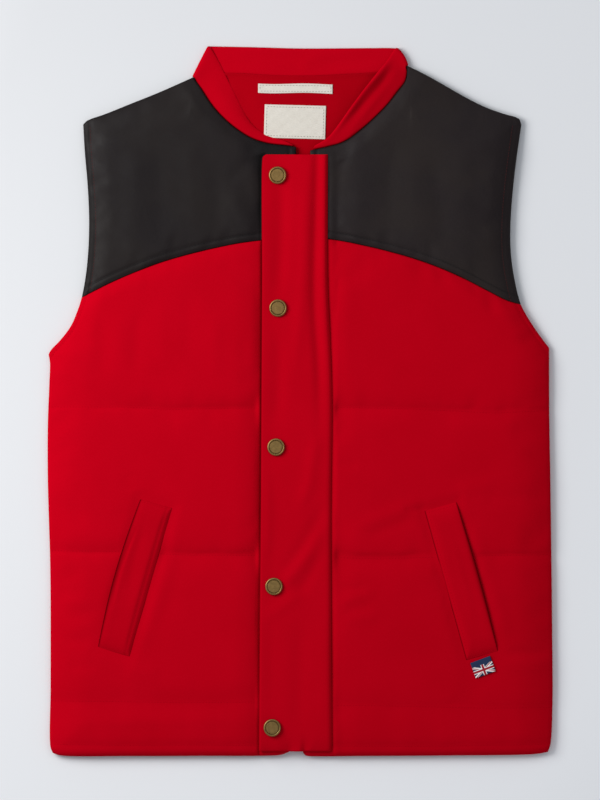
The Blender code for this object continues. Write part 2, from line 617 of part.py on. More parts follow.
def collar_fold(side):
    """Where the collar rolls over at the side of the neck, from its upper layer to its lower one."""
    corner = np.array(COLLAR_CORNERS[side])
    neck = LINES["neck_" + side][0]
    line = corner - neck
    out = np.array([-line[1], line[0]]) / np.linalg.norm(line)
    if (out[0] < 0) != (side == "right"):
        out = -out
    rows = []
    for angle in np.radians([80, 48, 16, -16, -48, -80]):
        row = []
        for tip, low, roll in zip((neck + 0.06 * line, corner), COLLAR_BACK_Z, COLLAR_ROLL):
            flat = tip + out * roll * (math.cos(angle) - 1.0)
            row.append(np.append(flat, low + roll + roll * math.sin(angle)))
        rows.append(tuple(row))
    return rows


def collar_behind():
    """The collar's rows behind the neck."""
    shares = np.linspace(0.07, 0.93, 11)
    seam = along(LINES["back_neck"], shares) + (0.0, GAP)
    free = along(LINES["collar_free_back"], shares)
    low_seam, low_free = (np.full(len(shares), z) for z in COLLAR_BACK_Z)
    return list(zip(np.column_stack([seam, low_seam]), np.column_stack([free, low_free])))


def collar(finish):
    """One band: over the right front, round behind the neck, and over the left front."""
    rows = (collar_over_front("right") + collar_fold("right") + collar_behind()
            + collar_fold("left")[::-1] + collar_over_front("left")[::-1])
    heights = np.array([0.0, 0.08, 0.3, 0.55, 0.8, 0.93, 1.0])
    middle = []
    for seam, free in rows:
        plan = seam[:2] + (free[:2] - seam[:2]) * heights[:, None]
        z = seam[2] + (free[2] - seam[2]) * heights ** COLLAR_FLARE
        middle.append(np.column_stack([plan, z]))
    middle = np.array(middle)
    normal = np.cross(np.gradient(middle, axis=1), np.gradient(middle, axis=0))
    normal /= np.linalg.norm(normal, axis=2, keepdims=True)
    half = np.full(len(heights), COLLAR_WALL / 2)
    half[[0, -1]] -= COLLAR_RIM
    offset = normal * half[None, :, None]
    return wall("collar", middle - offset, middle + offset, finish)


# ================================================================ the garment
def clear_scene():
    for old in list(bpy.data.objects):
        bpy.data.objects.remove(old)


def on_facing(places):
    return inner_height(places) + GAP


def on_front(places):
    return front_top(places) + LIFT


def build():
    clear_scene()
    back_panel("back_body", back_body_plan(), RED_CLOTH, quilted=True)
    back_panel("back_yoke", back_yoke_plan(), DARK_CLOTH, quilted=False)
    neck_facing(RED_CLOTH)
    for side in ("right", "left"):
        front_panel("front_body_" + side, front_body_plan(side), RED_CLOTH)
        front_panel("front_yoke_" + side, yoke_plan(side), DARK_CLOTH)
        welt(side, RED_CLOTH)
    placket(RED_CLOTH)
    collar(RED_CLOTH)
    for index, place in enumerate(SNAP_PLACES):
        snap_cap(index, place, OLD_BRASS)
    flat_piece("neck_label", NECK_LABEL, CREAM_TAPE, on_facing, LABEL_WALL, columns=8, rows=5)
    flat_piece("strip_label", STRIP_LABEL, CREAM_TAPE, on_facing, LABEL_WALL, columns=9, rows=3)
    flat_piece("flag_label", FLAG_LABEL, NAVY_TAPE, on_front, FLAG_WALL, columns=5, rows=4)


build()
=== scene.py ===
# %% [markdown]
# # A padded gilet, laid flat on its back
#
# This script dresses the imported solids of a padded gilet. The real one is cut from a brushed red
# cloth, with dark waxed-cotton yokes over the shoulders, a stand collar, a snap placket and two
# slanted pocket welts. It lies flat, as a shop photographs it, so every piece is a sheet or a pad
# that rests on the one below it. The frame gives each solid's place, and all sizes are metres.

# %% Load the frame
import math

import bpy
import numpy as np
from mathutils import Matrix, Vector, noise
from mathutils.bvhtree import BVHTree


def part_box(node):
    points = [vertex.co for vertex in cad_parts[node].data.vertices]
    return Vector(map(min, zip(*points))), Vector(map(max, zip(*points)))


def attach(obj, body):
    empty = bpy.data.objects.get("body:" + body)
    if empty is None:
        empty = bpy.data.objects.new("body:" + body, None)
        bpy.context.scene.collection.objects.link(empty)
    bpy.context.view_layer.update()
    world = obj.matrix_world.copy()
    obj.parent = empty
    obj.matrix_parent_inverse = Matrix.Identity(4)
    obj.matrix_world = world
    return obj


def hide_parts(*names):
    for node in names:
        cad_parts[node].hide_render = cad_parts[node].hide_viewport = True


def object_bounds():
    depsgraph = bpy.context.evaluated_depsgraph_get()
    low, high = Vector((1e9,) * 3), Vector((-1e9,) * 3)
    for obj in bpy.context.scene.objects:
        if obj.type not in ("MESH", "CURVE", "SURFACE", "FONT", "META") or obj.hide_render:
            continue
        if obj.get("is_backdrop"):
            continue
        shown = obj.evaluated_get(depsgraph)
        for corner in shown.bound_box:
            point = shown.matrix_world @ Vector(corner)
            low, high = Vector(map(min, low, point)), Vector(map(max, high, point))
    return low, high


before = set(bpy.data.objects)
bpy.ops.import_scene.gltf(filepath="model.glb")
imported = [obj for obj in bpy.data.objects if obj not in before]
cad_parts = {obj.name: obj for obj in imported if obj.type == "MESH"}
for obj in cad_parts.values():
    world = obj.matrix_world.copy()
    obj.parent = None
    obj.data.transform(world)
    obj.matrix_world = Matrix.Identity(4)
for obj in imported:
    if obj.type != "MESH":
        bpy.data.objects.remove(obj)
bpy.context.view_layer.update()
MM = 0.001                      # tables and drawings below are in millimetres

# %% [markdown]
# ## The camera, the table and the light
#
# A shop hangs its camera straight above the table and far away, so that nothing leans outwards.
# The distance follows from the lens and from how much of the table the picture shows. The light is
# a wide soft box from the upper left with a pale room around it, which leaves a soft shadow to the
# right and below.

# %% Camera, table and lights
VIEW_HEIGHT = 848.0             # the picture shows this much of the table
VIEW_CENTRE = (-0.27, 1.86)
FACE_HEIGHT = 8.0               # where the scale has to be right, about the height of the outline
LENS, SENSOR = 300.0, 36.0



def placed(name, data):
    """A new object in the scene, at the origin."""
    made = bpy.data.objects.new(name, data)
    bpy.context.scene.collection.objects.link(made)
    return made


camera = placed("camera", bpy.data.cameras.new("camera"))
camera.data.lens, camera.data.sensor_width = LENS, SENSOR
reach = LENS * VIEW_HEIGHT / SENSOR
camera.location = Vector((*VIEW_CENTRE, FACE_HEIGHT + reach)) * MM
camera.data.clip_end = 50.0
bpy.context.scene.camera = camera

TABLE, TABLE_TOP = 6.0, -0.0003         # half its side and its height, in metres
table_mesh = bpy.data.meshes.new("table")
table_mesh.from_pydata([(x * TABLE, y * TABLE, TABLE_TOP)
                        for x, y in ((-1, -1), (1, -1), (1, 1), (-1, 1))], [], [(0, 1, 2, 3)])
table = placed("table", table_mesh)
table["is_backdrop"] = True


def soft_box(name, place, size, power, colour):
    """A square area light that looks at the middle of the garment."""
    lamp = bpy.data.lights.new(name, "AREA")
    lamp.size, lamp.energy, lamp.color = size, power, colour
    box = placed(name, lamp)
    box.location = place
    box.rotation_euler = (-Vector(place)).to_track_quat("-Z", "Y").to_euler()


soft_box("key_light", (-1.04, 0.43, 0.95), 0.9, 21.0, (1.0, 0.99, 0.975))
soft_box("top_light", (0.5, 1.6, 2.0), 1.6, 6.0, (0.96, 0.98, 1.0))
world = bpy.data.worlds.new("room")
world.use_nodes = True
room_light = world.node_tree.nodes["Background"].inputs
room_light["Color"].default_value = (0.86, 0.89, 0.95, 1.0)
room_light["Strength"].default_value = 0.44
bpy.context.scene.world = world
bpy.context.scene.view_settings.view_transform = "Standard"
print("camera", round(reach), "mm above the cloth")

# %% [markdown]
# ## Seam lines
#
# A maker draws each seam once and cuts both pieces to it. So the seams are drawn here as short
# tables of points, x and y on the table in millimetres, and every panel is stretched between them.
# "right" and "left" are the wearer's, so the right front is on the left of the picture.

# %% Seam tables
SEAMS = {
    "side_right": [(-262.5, -372.5), (-265.0, -366.0), (-264.9, -300.0), (-265.2, -180.0),
                   (-267.9, -80.0), (-267.8, -22.0), (-266.2, 20.0), (-265.6, 42.0), (-267.0, 50.0)],
    "side_left": [(262.5, -371.5), (265.3, -364.0), (267.6, -322.0), (267.3, -245.0),
                  (265.6, -100.0), (264.2, -11.0), (264.0, 57.0)],
    "armhole_right": [(-267.0, 50.0), (-264.6, 54.8), (-255.1, 64.7), (-243.6, 79.9),
                      (-236.5, 96.0), (-231.9, 110.4), (-227.2, 136.3), (-224.6, 165.0),
                      (-224.0, 195.0), (-225.6, 230.0), (-228.6, 265.0), (-230.3, 294.0)],
    "armhole_left": [(264.0, 57.0), (251.0, 74.6), (241.0, 90.0), (234.2, 103.0), (227.6, 128.0),
                     (223.4, 157.0), (222.8, 184.0), (224.6, 215.0), (229.0, 255.0), (234.6, 294.0)],
    "shoulder_right": [(-230.3, 294.0), (-226.0, 298.2), (-207.4, 305.0), (-179.0, 316.4),
                       (-148.7, 328.6), (-113.6, 344.2)],
    "shoulder_left": [(234.6, 294.0), (231.5, 300.5), (217.5, 304.9), (198.5, 311.6),
                      (179.5, 320.6), (151.2, 336.6), (132.2, 347.2), (113.6, 356.4)],
    "neck_right": [(-113.6, 344.2), (-104.7, 331.2), (-93.5, 314.2), (-79.6, 299.2), (-66.5, 288.4),
                   (-50.6, 278.9), (-33.1, 273.6), (-19.5, 272.0), (-10.5, 271.0), (-4.2, 270.2)],
    "neck_left": [(113.6, 356.4), (112.2, 341.5), (102.2, 327.6), (92.3, 314.8), (78.0, 300.4),
                  (62.2, 286.6), (46.3, 275.6), (30.4, 270.8), (18.5, 268.0), (10.3, 266.6)],
    "yoke_right": [(-231.9, 110.4), (-199.9, 126.4), (-172.5, 138.2), (-145.5, 148.2),
                   (-117.9, 156.2), (-90.4, 162.8), (-63.0, 168.2), (-35.0, 171.6), (-4.6, 173.6)],
    "yoke_left": [(234.2, 103.0), (219.5, 107.2), (201.9, 116.0), (175.5, 129.6), (149.2, 141.4),
                  (122.7, 151.0), (96.4, 158.6), (70.0, 165.0), (40.0, 171.0), (8.9, 174.6)],
    "front_right": [(-12.1, -371.4), (-8.0, -60.0), (-4.6, 173.6), (-4.2, 270.2)],
    "front_left": [(2.9, -372.0), (5.6, -60.0), (8.9, 174.6), (10.3, 266.6)],
    "hem_right": [(-262.5, -372.5), (-255.0, -375.0), (-180.0, -375.8), (-100.0, -375.6),
                  (-32.4, -375.4), (-20.0, -374.4), (-12.1, -371.4)],
    "hem_left": [(262.5, -371.5), (250.0, -373.6), (160.0, -375.2), (60.0, -375.8), (12.0, -376.0),
                 (5.6, -375.2), (2.9, -372.0)],
    "back_neck": [(-113.6, 344.2), (-79.8, 347.4), (-32.0, 345.2), (0.0, 344.4), (42.1, 345.8),
                  (81.4, 348.6), (113.6, 356.4)],
    "back_yoke": [(-231.9, 110.4), (-160.0, 131.0), (-80.0, 145.0), (0.0, 150.0), (80.0, 144.0),
                  (160.0, 128.0), (234.2, 103.0)],
    "back_hem": [(-262.5, -366.5), (-250.0, -370.0), (0.0, -370.6), (250.0, -369.6),
                 (262.5, -365.5)],
    "collar_free_right": [(-8.6, 272.6), (-16.2, 276.4), (-30.2, 280.8), (-39.5, 285.2),
                          (-46.9, 290.2), (-53.9, 297.6), (-69.7, 327.8), (-79.2, 346.9),
                          (-87.5, 364.0)],
    "collar_free_back": [(-95.0, 377.0), (-53.3, 376.2), (0.0, 374.8), (52.7, 375.0),
                         (100.5, 375.4)],
    "collar_free_left": [(15.6, 271.6), (28.4, 279.6), (38.3, 291.0), (54.0, 313.0), (70.8, 335.4),
                         (85.0, 353.2), (95.5, 366.0)],
    "placket_outer": [(-43.6, -370.6), (-42.1, -125.0), (-40.8, 129.0), (-40.4, 256.0),
                      (-39.6, 259.6), (-36.4, 262.0)],
    "placket_seam": [(34.2, -370.6), (33.1, -125.0), (34.2, 2.0), (32.3, 65.5), (29.6, 129.0),
                     (29.4, 262.0)],
}


def smooth_line(points, per_span=12):
    """A curve through the points, as many short straight steps. Uneven spans don't overshoot."""
    p = np.array(points, float)
    chord = np.diff(p, axis=0)
    knots = np.sqrt(np.linalg.norm(chord, axis=1))[:, None]
    slope = chord / knots
    inner = (slope[:-1] * knots[1:] + slope[1:] * knots[:-1]) / (knots[:-1] + knots[1:])
    tangent = np.vstack([slope[:1], inner, slope[-1:]])
    t = np.linspace(0, 1, per_span, endpoint=False)[:, None]
    spans = []
    for k in range(len(chord)):
        lean_in, lean_out = knots[k] * tangent[k], knots[k] * tangent[k + 1]
        spans.append(p[k] + lean_in * t + (3 * chord[k] - 2 * lean_in - lean_out) * t ** 2
                     + (lean_in + lean_out - 2 * chord[k]) * t ** 3)
    return np.vstack(spans + [p[-1:]])


LINES = {name: smooth_line(points) for name, points in SEAMS.items()}
print("seam lines:", len(LINES))

# %% [markdown]
# ## Measuring along and across a seam
#
# Sewing is full of distances: so far along this seam, so far in from that edge. These few helpers
# answer both, and two easing curves turn a distance into a soft change of height.

# %% Tape measure
def travelled(line):
    """The distance gone at each point of a line."""
    return np.concatenate([[0.0], np.cumsum(np.linalg.norm(np.diff(line, axis=0), axis=1))])


def along(line, shares):
    """Points at these shares of a line's length."""
    gone = travelled(line)
    at = np.asarray(shares) * gone[-1]
    return np.stack([np.interp(at, gone, line[:, k]) for k in range(line.shape[1])], axis=-1)


def at_height(line, y):
    """The point of a side edge at height y."""
    order = np.argsort(line[:, 1], kind="stable")
    return np.array([np.interp(y, line[order, 1], line[order, 0]), y])


def nearest(line, places):
    """How far each place is from a line, and the share of the line's length where it is nearest."""
    a, step = line[:-1], np.diff(line, axis=0)
    gone = travelled(line)
    away, share = np.empty(len(places)), np.empty(len(places))
    for part in np.array_split(np.arange(len(places)), max(1, len(places) // 4000)):
        offset = places[part][:, None, :] - a[None]
        t = np.clip((offset * step).sum(2) / (step ** 2).sum(1), 0, 1)
        size = np.linalg.norm(offset - t[..., None] * step, axis=2)
        best = size.argmin(1)
        row = np.arange(len(part))
        away[part] = size[row, best]
        share[part] = (gone[best] + t[row, best] * np.diff(gone)[best]) / gone[-1]
    return away, share


def distance_to(name, places):
    return nearest(LINES[name], places)[0]


def ease(x):
    """0 below 0, 1 above 1, smooth between."""
    x = np.clip(x, 0, 1)
    return x * x * (3 - 2 * x)


def swell(distance, reach_in):
    """0 at an edge, 1 at the reach and beyond, rounded like a filled edge."""
    return 1 - (1 - np.clip(distance / reach_in, 0, 1)) ** 2


def from_table(rows, at):
    """Reads a two-column table between its rows."""
    return np.interp(at, *zip(*rows))


def bell(distance, width):
    """1 on a line, fading softly to 0 beside it."""
    return np.exp(-(distance / width) ** 2)


print("right armhole:", round(travelled(LINES["armhole_right"])[-1]), "mm round")

# %% [markdown]
# ## How high the cloth lies
#
# The back rests on the table and the two fronts rest on the back, so one height carries the next:
# the top of the back, then the thickness of a front, then the placket, and last the studs. The
# wadding is thinner at seams, and it is pressed level where the placket lies on it. The sizes are
# those of the solids.

# %% Heights of the layers
GAP, LIFT, BACK_LIFT = 0.3, 0.5, 0.4
SEAM_Z, INNER_Z, INNER_REACH = 3.6, 6.8, 60.0
FRONT_WALL, PLACKET_BED = 8.0, 6.4
FRONT_EDGES = [("side", 0.42, 42.0), ("armhole", 0.45, 24.0), ("shoulder", 0.45, 40.0),
               ("yoke", 0.74, 14.0), ("hem", 0.45, 22.0), ("neck", 0.60, 18.0)]
LEVEL_EDGES = ("hem", "neck")
PLACKET_MIDDLE_X, BED_HALF_WIDTH, BED_SHOULDER, PARTING_X = -4.0, 36.0, 30.0, 2.0
OUTLINE = ("side_right", "side_left", "armhole_right", "armhole_left", "shoulder_right",
           "shoulder_left", "hem_right", "hem_left", "back_neck")


def inner_height(places):
    """Top of the back, on which the fronts lie."""
    inside = np.min([distance_to(name, places) for name in OUTLINE], axis=0)
    return SEAM_Z + (INNER_Z - SEAM_Z) * swell(inside, INNER_REACH)


def beside_placket(places, start, fade):
    """0 up to a distance from the placket's middle, 1 beyond the fade after it."""
    return ease((np.abs(places[:, 0] - PLACKET_MIDDLE_X) - start) / fade)


def front_thickness(places, side):
    """Padded thickness of a front, thinner at its edges and level under the placket."""
    level, rest = np.ones(len(places)), np.ones(len(places))
    for edge, left_there, fade in FRONT_EDGES:
        share = left_there + (1 - left_there) * swell(distance_to(edge + "_" + side, places), fade)
        if edge in LEVEL_EDGES:
            level *= share
        else:
            rest *= share
    share = level * (1 + (rest - 1) * beside_placket(places, BED_HALF_WIDTH - 2.0, 10.0))
    bed = beside_placket(places, BED_HALF_WIDTH, BED_SHOULDER)
    return (PLACKET_BED + (FRONT_WALL - PLACKET_BED) * bed) * share


def front_top(places):
    """Outer face of whichever front lies at each place, before it is quilted."""
    right, left = (front_thickness(places, side) for side in ("right", "left"))
    return inner_height(places) + BACK_LIFT + np.where(places[:, 0] > PARTING_X, left, right)


probe = np.array([(-150.0, -80.0), (-20.0, 0.0), (150.0, 200.0)])
print("front face at three places, mm:", np.round(front_top(probe), 1))

# %% [markdown]
# ## Folds, pulls and quilting
#
# Cloth that lies flat still shows where it was pressed, pulled or stitched. Each soft fold is drawn
# as a line with a height and a width, a ridge above zero or a trough below, and it fades
# out at both ends. Quilting is a line too, with a rounded bottom and a long slope on each side,
# where the wadding swells up again. Each line has its own wander and its own depth along the way,
# as sewn ones do.

# %% Folds and quilting lines
def folds(places, table):
    """The height that a table of folds adds. Each row is (rise, width, points of the line)."""
    rise_there = np.zeros(len(places))
    for rise, width, points in table:
        line = smooth_line(points, 6) if len(points) > 2 else np.array(points, float)
        away, share = nearest(line, places)
        fade = ease(share / 0.3) * ease((1 - share) / 0.3)
        rise_there += rise * bell(away, width) * fade
    return rise_there


def uneven(places, size, rise, seed):
    """Slow natural unevenness, in places about this size across."""
    return rise * np.array([noise.noise((x / size, y / size, seed)) for x, y in places])


# For each quilting line: its wander (x, y), and its depth in millimetres (x, depth)
QUILTING = {
    "right": [([(-268, -5.5), (-190, -5.5), (-135, -8.2), (-70, -6.8), (-4, -6.5)],
               [(-266, 0.8), (-215, 1.0), (-150, 1.8), (-95, 2.3), (-48, 2.5)]),
              ([(-268, -157.8), (-195, -158.5), (-120, -162.5), (-4, -163.0)],
               [(-266, 1.9), (-225, 2.1), (-190, 1.2), (-120, 1.7), (-60, 2.4)]),
              ([(-268, -317.0), (-195, -317.5), (-120, -318.8), (-4, -317.5)],
               [(-262, 2.0), (-200, 1.6), (-150, 1.9), (-90, 2.0), (-50, 1.5)])],
    "left": [([(3, -5.5), (97, -7.0), (140, -8.6), (205, -12.0), (268, -9.0)],
              [(42, 2.4), (80, 1.9), (130, 1.4), (180, 1.2), (225, 0.9), (262, 0.7)]),
             ([(3, -164.0), (85, -166.5), (140, -164.5), (205, -163.0), (268, -162.0)],
              [(42, 2.0), (85, 2.0), (140, 1.0), (205, 0.9), (250, 1.2)]),
             ([(3, -321.5), (90, -322.0), (195, -324.5), (268, -324.0)],
              [(42, 1.2), (85, 1.1), (150, 0.6), (225, 0.9), (262, 0.8)])],
}
QUILT_ABOVE, QUILT_BELOW = 9.0, 13.0        # how far a quilting line's dip reaches up and down
# How rounded its bottom is at each height: the lowest line is the softest
QUILT_ROUND = [(-330, 9.0), (-300, 9.0), (-200, 3.2), (0, 3.0)]
# and how much of the wadding's own swelling it lets show
SWELLING = [(-376, 0.2), (-290, 0.35), (-230, 0.9), (0, 0.9)]


def quilting(places, side):
    """How far the quilting lines pull the face down."""
    x, y = places.T
    dip = np.zeros(len(places))
    for wander, depth in QUILTING[side]:
        up = y - from_table(wander, x)
        soft = from_table(QUILT_ROUND, y)
        away = (np.hypot(up, soft) - soft) / np.where(up > 0, QUILT_ABOVE, QUILT_BELOW)
        dip = np.maximum(dip, from_table(depth, x) * np.exp(-away))
    return dip * beside_placket(places, BED_HALF_WIDTH + 2.0, 7.0)


FRONT_FOLDS = {
    "right": [
        (-0.55, 9, [(-210, 96), (-210, 55), (-211, 20)]),
        (0.40, 10, [(-190, 98), (-191, 60), (-190, 22)]),
        (-0.45, 8, [(-170, 104), (-174, 60), (-173, 22)]),
        (0.40, 10, [(-146, 116), (-147, 70), (-145, 28)]),
        (-0.50, 10, [(-117, 124), (-118, 80), (-116, 30)]),
        (0.55, 9, [(-90, 96), (-91, 55), (-90, 14)]),
        (-0.35, 7, [(-59, 72), (-60, 52), (-58, 36)]),
        (-0.35, 6, [(-259, -66), (-240, -70), (-222, -83)]),
        (0.45, 12, [(-234, -95), (-207, -108), (-188, -124)]),
        (-0.35, 8, [(-184, -74), (-180, -98)]),
        (0.80, 8, [(-127, -104), (-141, -180), (-152, -215), (-173, -272)]),
        (-0.40, 6, [(-260, -200), (-245, -202), (-226, -199)]),
        (0.35, 7, [(-258, -211), (-240, -214), (-220, -212)]),
        (-0.45, 6, [(-256, -255), (-240, -254), (-218, -256)]),
        (-0.45, 6, [(-250, -279), (-230, -281), (-212, -279)]),
        (0.45, 9, [(-188, -283), (-165, -288), (-146, -285)]),
        (0.55, 8, [(-252, -340), (-150, -338), (-42, -337)]),
    ],
    "left": [
        (1.00, 10, [(47, 168), (46, 90), (46, 30), (47, 0)]),
        (0.60, 9, [(44, -10), (43, -80), (44, -156)]),
        (0.70, 9, [(46, -182), (45, -260), (45, -362)]),
        (-0.40, 5, [(34, -67), (48, -66), (64, -68)]),
        (0.80, 8, [(50, -138), (90, -121), (134, -106)]),
        (-0.50, 7, [(66, -145), (105, -129), (130, -119)]),
        (-1.00, 4, [(108, -113), (122, -114.7), (136, -112)]),
        (0.60, 8, [(160, -97), (185, -90), (212, -84)]),
        (-0.50, 8, [(190, -103), (215, -101), (240, -99)]),
        (-0.45, 4, [(40, -197), (55, -197.5), (70, -198)]),
        (0.50, 5, [(38, -215), (58, -207), (84, -202)]),
        (-0.40, 5, [(42, -225), (60, -219), (80, -215)]),
        (0.40, 6, [(44, -233), (66, -229), (86, -230)]),
        (0.90, 9, [(178, -118), (198, -180), (214, -235), (224, -268)]),
        (-0.60, 5, [(212, -267), (240, -266), (269, -267)]),
        (0.50, 8, [(206, -276), (235, -280), (264, -279)]),
    ],
}
HEM_LINE = {"right": [(-262, -363.0), (-186, -364.0), (-110, -363.6), (-14, -364.6)],
            "left": [(4, -365.0), (140, -365.0), (262, -363.0)]}


def outside_placket(places, side):
    """How far each place is outside the placket's edge, negative under it."""
    edge, out = ("placket_outer", -1) if side == "right" else ("placket_seam", 1)
    return out * (places[:, 0] - np.interp(places[:, 1], *LINES[edge].T[::-1]))


PLACKET_TOP = 262.0


def placket_furrow(places, side):
    """How far a front dips where the placket's edge presses on it."""
    away = outside_placket(places, side)
    if side == "right":
        pressed = 1.1 * bell(np.maximum(away, 0), 8.0) * bell(np.minimum(away, 0), 3.0) \
            + 0.9 * bell(away - 0.2, 1.8)
    else:                               # the seam's own allowance fills the dip out
        pressed = 0.15 * bell(away - 0.2, 1.2) - 0.7 * bell(away - 4.0, 4.0)
    return pressed * ease((PLACKET_TOP + 3.0 - places[:, 1]) / 6.0)


# How dark the line beside the placket is at each height
EDGE_SHADOW = {"right": [(-371, 0.30), (-200, 0.40), (-120, 0.75), (60, 0.85), (262, 0.85)],
               "left": [(-371, 0.15), (-100, 0.22), (160, 0.30), (262, 0.35)]}


def placket_shade(places, side):
    """The shadowed line along the placket's edge, from 0 to 1."""
    strong = from_table(EDGE_SHADOW[side], places[:, 1])
    return strong * bell(outside_placket(places, side) - 0.3, 0.95) * (places[:, 1] < PLACKET_TOP)


RED_ARMHOLE_STITCH = 4.6        # how far in from the armhole its stitched line runs below the yoke


def front_relief(places, side):
    """Quilting, folds, the hem's stitched line and slow unevenness of a lower front."""
    clear = beside_placket(places, BED_HALF_WIDTH - 2.0, 8.0)
    hem = bell(places[:, 1] - from_table(HEM_LINE[side], places[:, 0]), 5.0)
    from_hem = distance_to("hem_" + side, places)
    full = 2.7 * (swell(from_hem, 7.5) - swell(from_hem, 22.0))     # a turned hem keeps its height
    slow = uneven(places, 70.0, 0.5, 3.1) + uneven(places, 26.0, 0.22, 8.7)
    stitched = bell(distance_to("armhole_" + side, places) - RED_ARMHOLE_STITCH, 1.3)
    return clear * (folds(places, FRONT_FOLDS[side]) + slow + full) - quilting(places, side) \
        - 0.55 * hem * clear - 0.6 * stitched - placket_furrow(places, side)


print("folds drawn on the fronts:", sum(len(rows) for rows in FRONT_FOLDS.values()))

# %% [markdown]
# ## Panels as fine grids
#
# A panel could be a flat shape pulled into place with the sculpting tools, but then its edges would
# drift off the seams. Here each panel is a grid stretched between its seam lines, closer together
# at its borders, where the edge rolls over, and it is made twice: once for its upper face and once
# for its lower one.

# %% Grid helpers
RIM = (0.0, 0.45, 1.2, 2.4, 4.2, 7.0)          # distances from an edge of the first grid lines
MEETING = (0.0, 2.2, 6.0)                      # the same where shoulder meets neckline


def stations(length, count, first=RIM, last=RIM):
    """Shares of a length: fixed distances beside the two ends, even steps between."""
    start, end = np.array(first), length - np.array(last)[::-1]
    middle = np.linspace(start[-1], end[0], count - len(first) - len(last) + 2)[1:-1]
    return np.concatenate([start, middle, end]) / length


def filled(marks, pitch):
    """The marks, with even steps between them where they are further apart than the pitch."""
    marks = sorted(marks)
    made = [marks[0]]
    for a, b in zip(marks, marks[1:]):
        steps = max(1, math.ceil((b - a) / pitch - 0.2))
        made += [a + (b - a) * k / steps for k in range(1, steps + 1)]
    return made


def refined(grid):
    """A grid with a new line between each two, on a smooth curve through its neighbours."""
    for axis in (0, 1):
        g = np.moveaxis(grid, axis, 0)
        padded = np.concatenate([2 * g[:1] - g[1:2], g, 2 * g[-1:] - g[-2:-1]])
        middle = (9 * (g[:-1] + g[1:]) - padded[:-3] - padded[3:]) / 16
        fine = np.empty((2 * len(g) - 1,) + g.shape[1:])
        fine[0::2], fine[1::2] = g, middle
        edge = (g[:-1] + g[1:]) / 2
        fine[1], fine[-2] = edge[0], edge[-1]
        grid = np.moveaxis(fine, 0, axis)
    return grid


def parted(plan, inset=GAP / 2):
    """The plan with its border drawn in, so that neighbours part at the seam."""
    grid = plan.copy()
    for border, beside in ((np.s_[0, :], np.s_[1, :]), (np.s_[-1, :], np.s_[-2, :]),
                           (np.s_[:, 0], np.s_[:, 1]), (np.s_[:, -1], np.s_[:, -2])):
        step = plan[beside] - plan[border]
        grid[border] += inset * step / np.linalg.norm(step, axis=-1, keepdims=True)
    return grid


def border_distances(plan):
    """How far each grid point is, along the grid, from its first and last row and column."""
    down = np.linalg.norm(np.diff(plan, axis=0), axis=2)
    across = np.linalg.norm(np.diff(plan, axis=1), axis=2)
    rows = np.vstack([np.zeros((1, plan.shape[1])), np.cumsum(down, axis=0)])
    columns = np.hstack([np.zeros((plan.shape[0], 1)), np.cumsum(across, axis=1)])
    return rows, rows[-1] - rows, columns, columns[:, -1:] - columns


def rolled(plan, low, high, rolls, level=0.4):
    """Draws both faces together at the borders, like the roll of a turned edge.

    rolls holds (radius, share of the thickness left) for first row, last row, first column and
    last column, and level is how far up the wall they meet.
    """
    share = np.ones(plan.shape[:2])
    for away, (radius, left_there) in zip(border_distances(plan), rolls):
        x = np.clip(away / radius, 0, 1)
        share = np.minimum(share, left_there + (1 - left_there) * np.sqrt(1 - (1 - x) ** 2))
    middle = low + level * (high - low)
    return middle - (middle - low) * share, middle + (high - middle) * share


print("a 250 mm seam gets", len(stations(250.0, 46)), "points")

# %% [markdown]
# ## From two grids to a closed piece
#
# Cloth has a thickness, so a piece is closed all round: upper face, lower face and a narrow rim.
# Its UV map is the flat pattern in metres, so the weave lies along the cloth and keeps its scale.

# %% Closed wall
def cloth_piece(name, low, high, pattern=None, shade=None):
    """A closed wall between two grids of millimetre points, with the pattern as its UV map.

    shade says how much painted shade darkens the cloth at each point of the upper face, from 0 to 1.
    """
    rows, columns = high.shape[:2]
    count = rows * columns
    grid = np.arange(count).reshape(rows, columns)
    a, b, c, d = grid[:-1, :-1], grid[:-1, 1:], grid[1:, 1:], grid[1:, :-1]
    top = np.stack([a, b, c, d], axis=-1).reshape(-1, 4)
    ring = np.concatenate([grid[0, :-1], grid[:-1, -1], grid[-1, :0:-1], grid[:0:-1, 0]])
    after = np.roll(ring, -1)
    rim = np.stack([after, ring, ring + count, after + count], axis=-1)
    faces = np.vstack([top, top[:, ::-1] + count, rim])
    points = np.vstack([high.reshape(-1, 3), low.reshape(-1, 3)]) * MM
    corner = points[faces]
    volume = sum((corner[:, 0] * np.cross(corner[:, k], corner[:, k + 1])).sum() for k in (1, 2))
    if volume < 0:
        faces = faces[:, ::-1]
    mesh = bpy.data.meshes.new(name)
    mesh.from_pydata(points.tolist(), [], faces.tolist())
    flat = (high[..., :2] if pattern is None else pattern).reshape(-1, 2) * MM
    mesh.uv_layers.new(name="cloth")
    mesh.uv_layers["cloth"].data.foreach_set("uv", np.vstack([flat, flat])[faces.ravel()].ravel())
    if shade is not None:
        dark = np.tile(np.clip(shade, 0, 1).ravel(), 2)
        mesh.attributes.new("shade", "FLOAT", "POINT").data.foreach_set("value", dark)
    mesh.shade_smooth()
    return placed(name, mesh)


def with_height(plan, height):
    return np.concatenate([plan, height.reshape(plan.shape[:2])[..., None]], axis=2)


def settle(piece, material, slot, *nodes):
    """What every finished piece gets: its material and its place on the body. The slot is not used.
    """
    piece.data.materials.clear()
    piece.data.materials.append(material)
    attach(piece, "root")
    if nodes:
        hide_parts(*nodes)
    return piece


print("ready to sew")

# %% [markdown]
# ## Sums inside a material
#
# A cloth's colour and bump are sums of a few patterns. To keep those sums readable they are
# written as Python sums: a reading wraps one socket, and each operator adds its Math node.

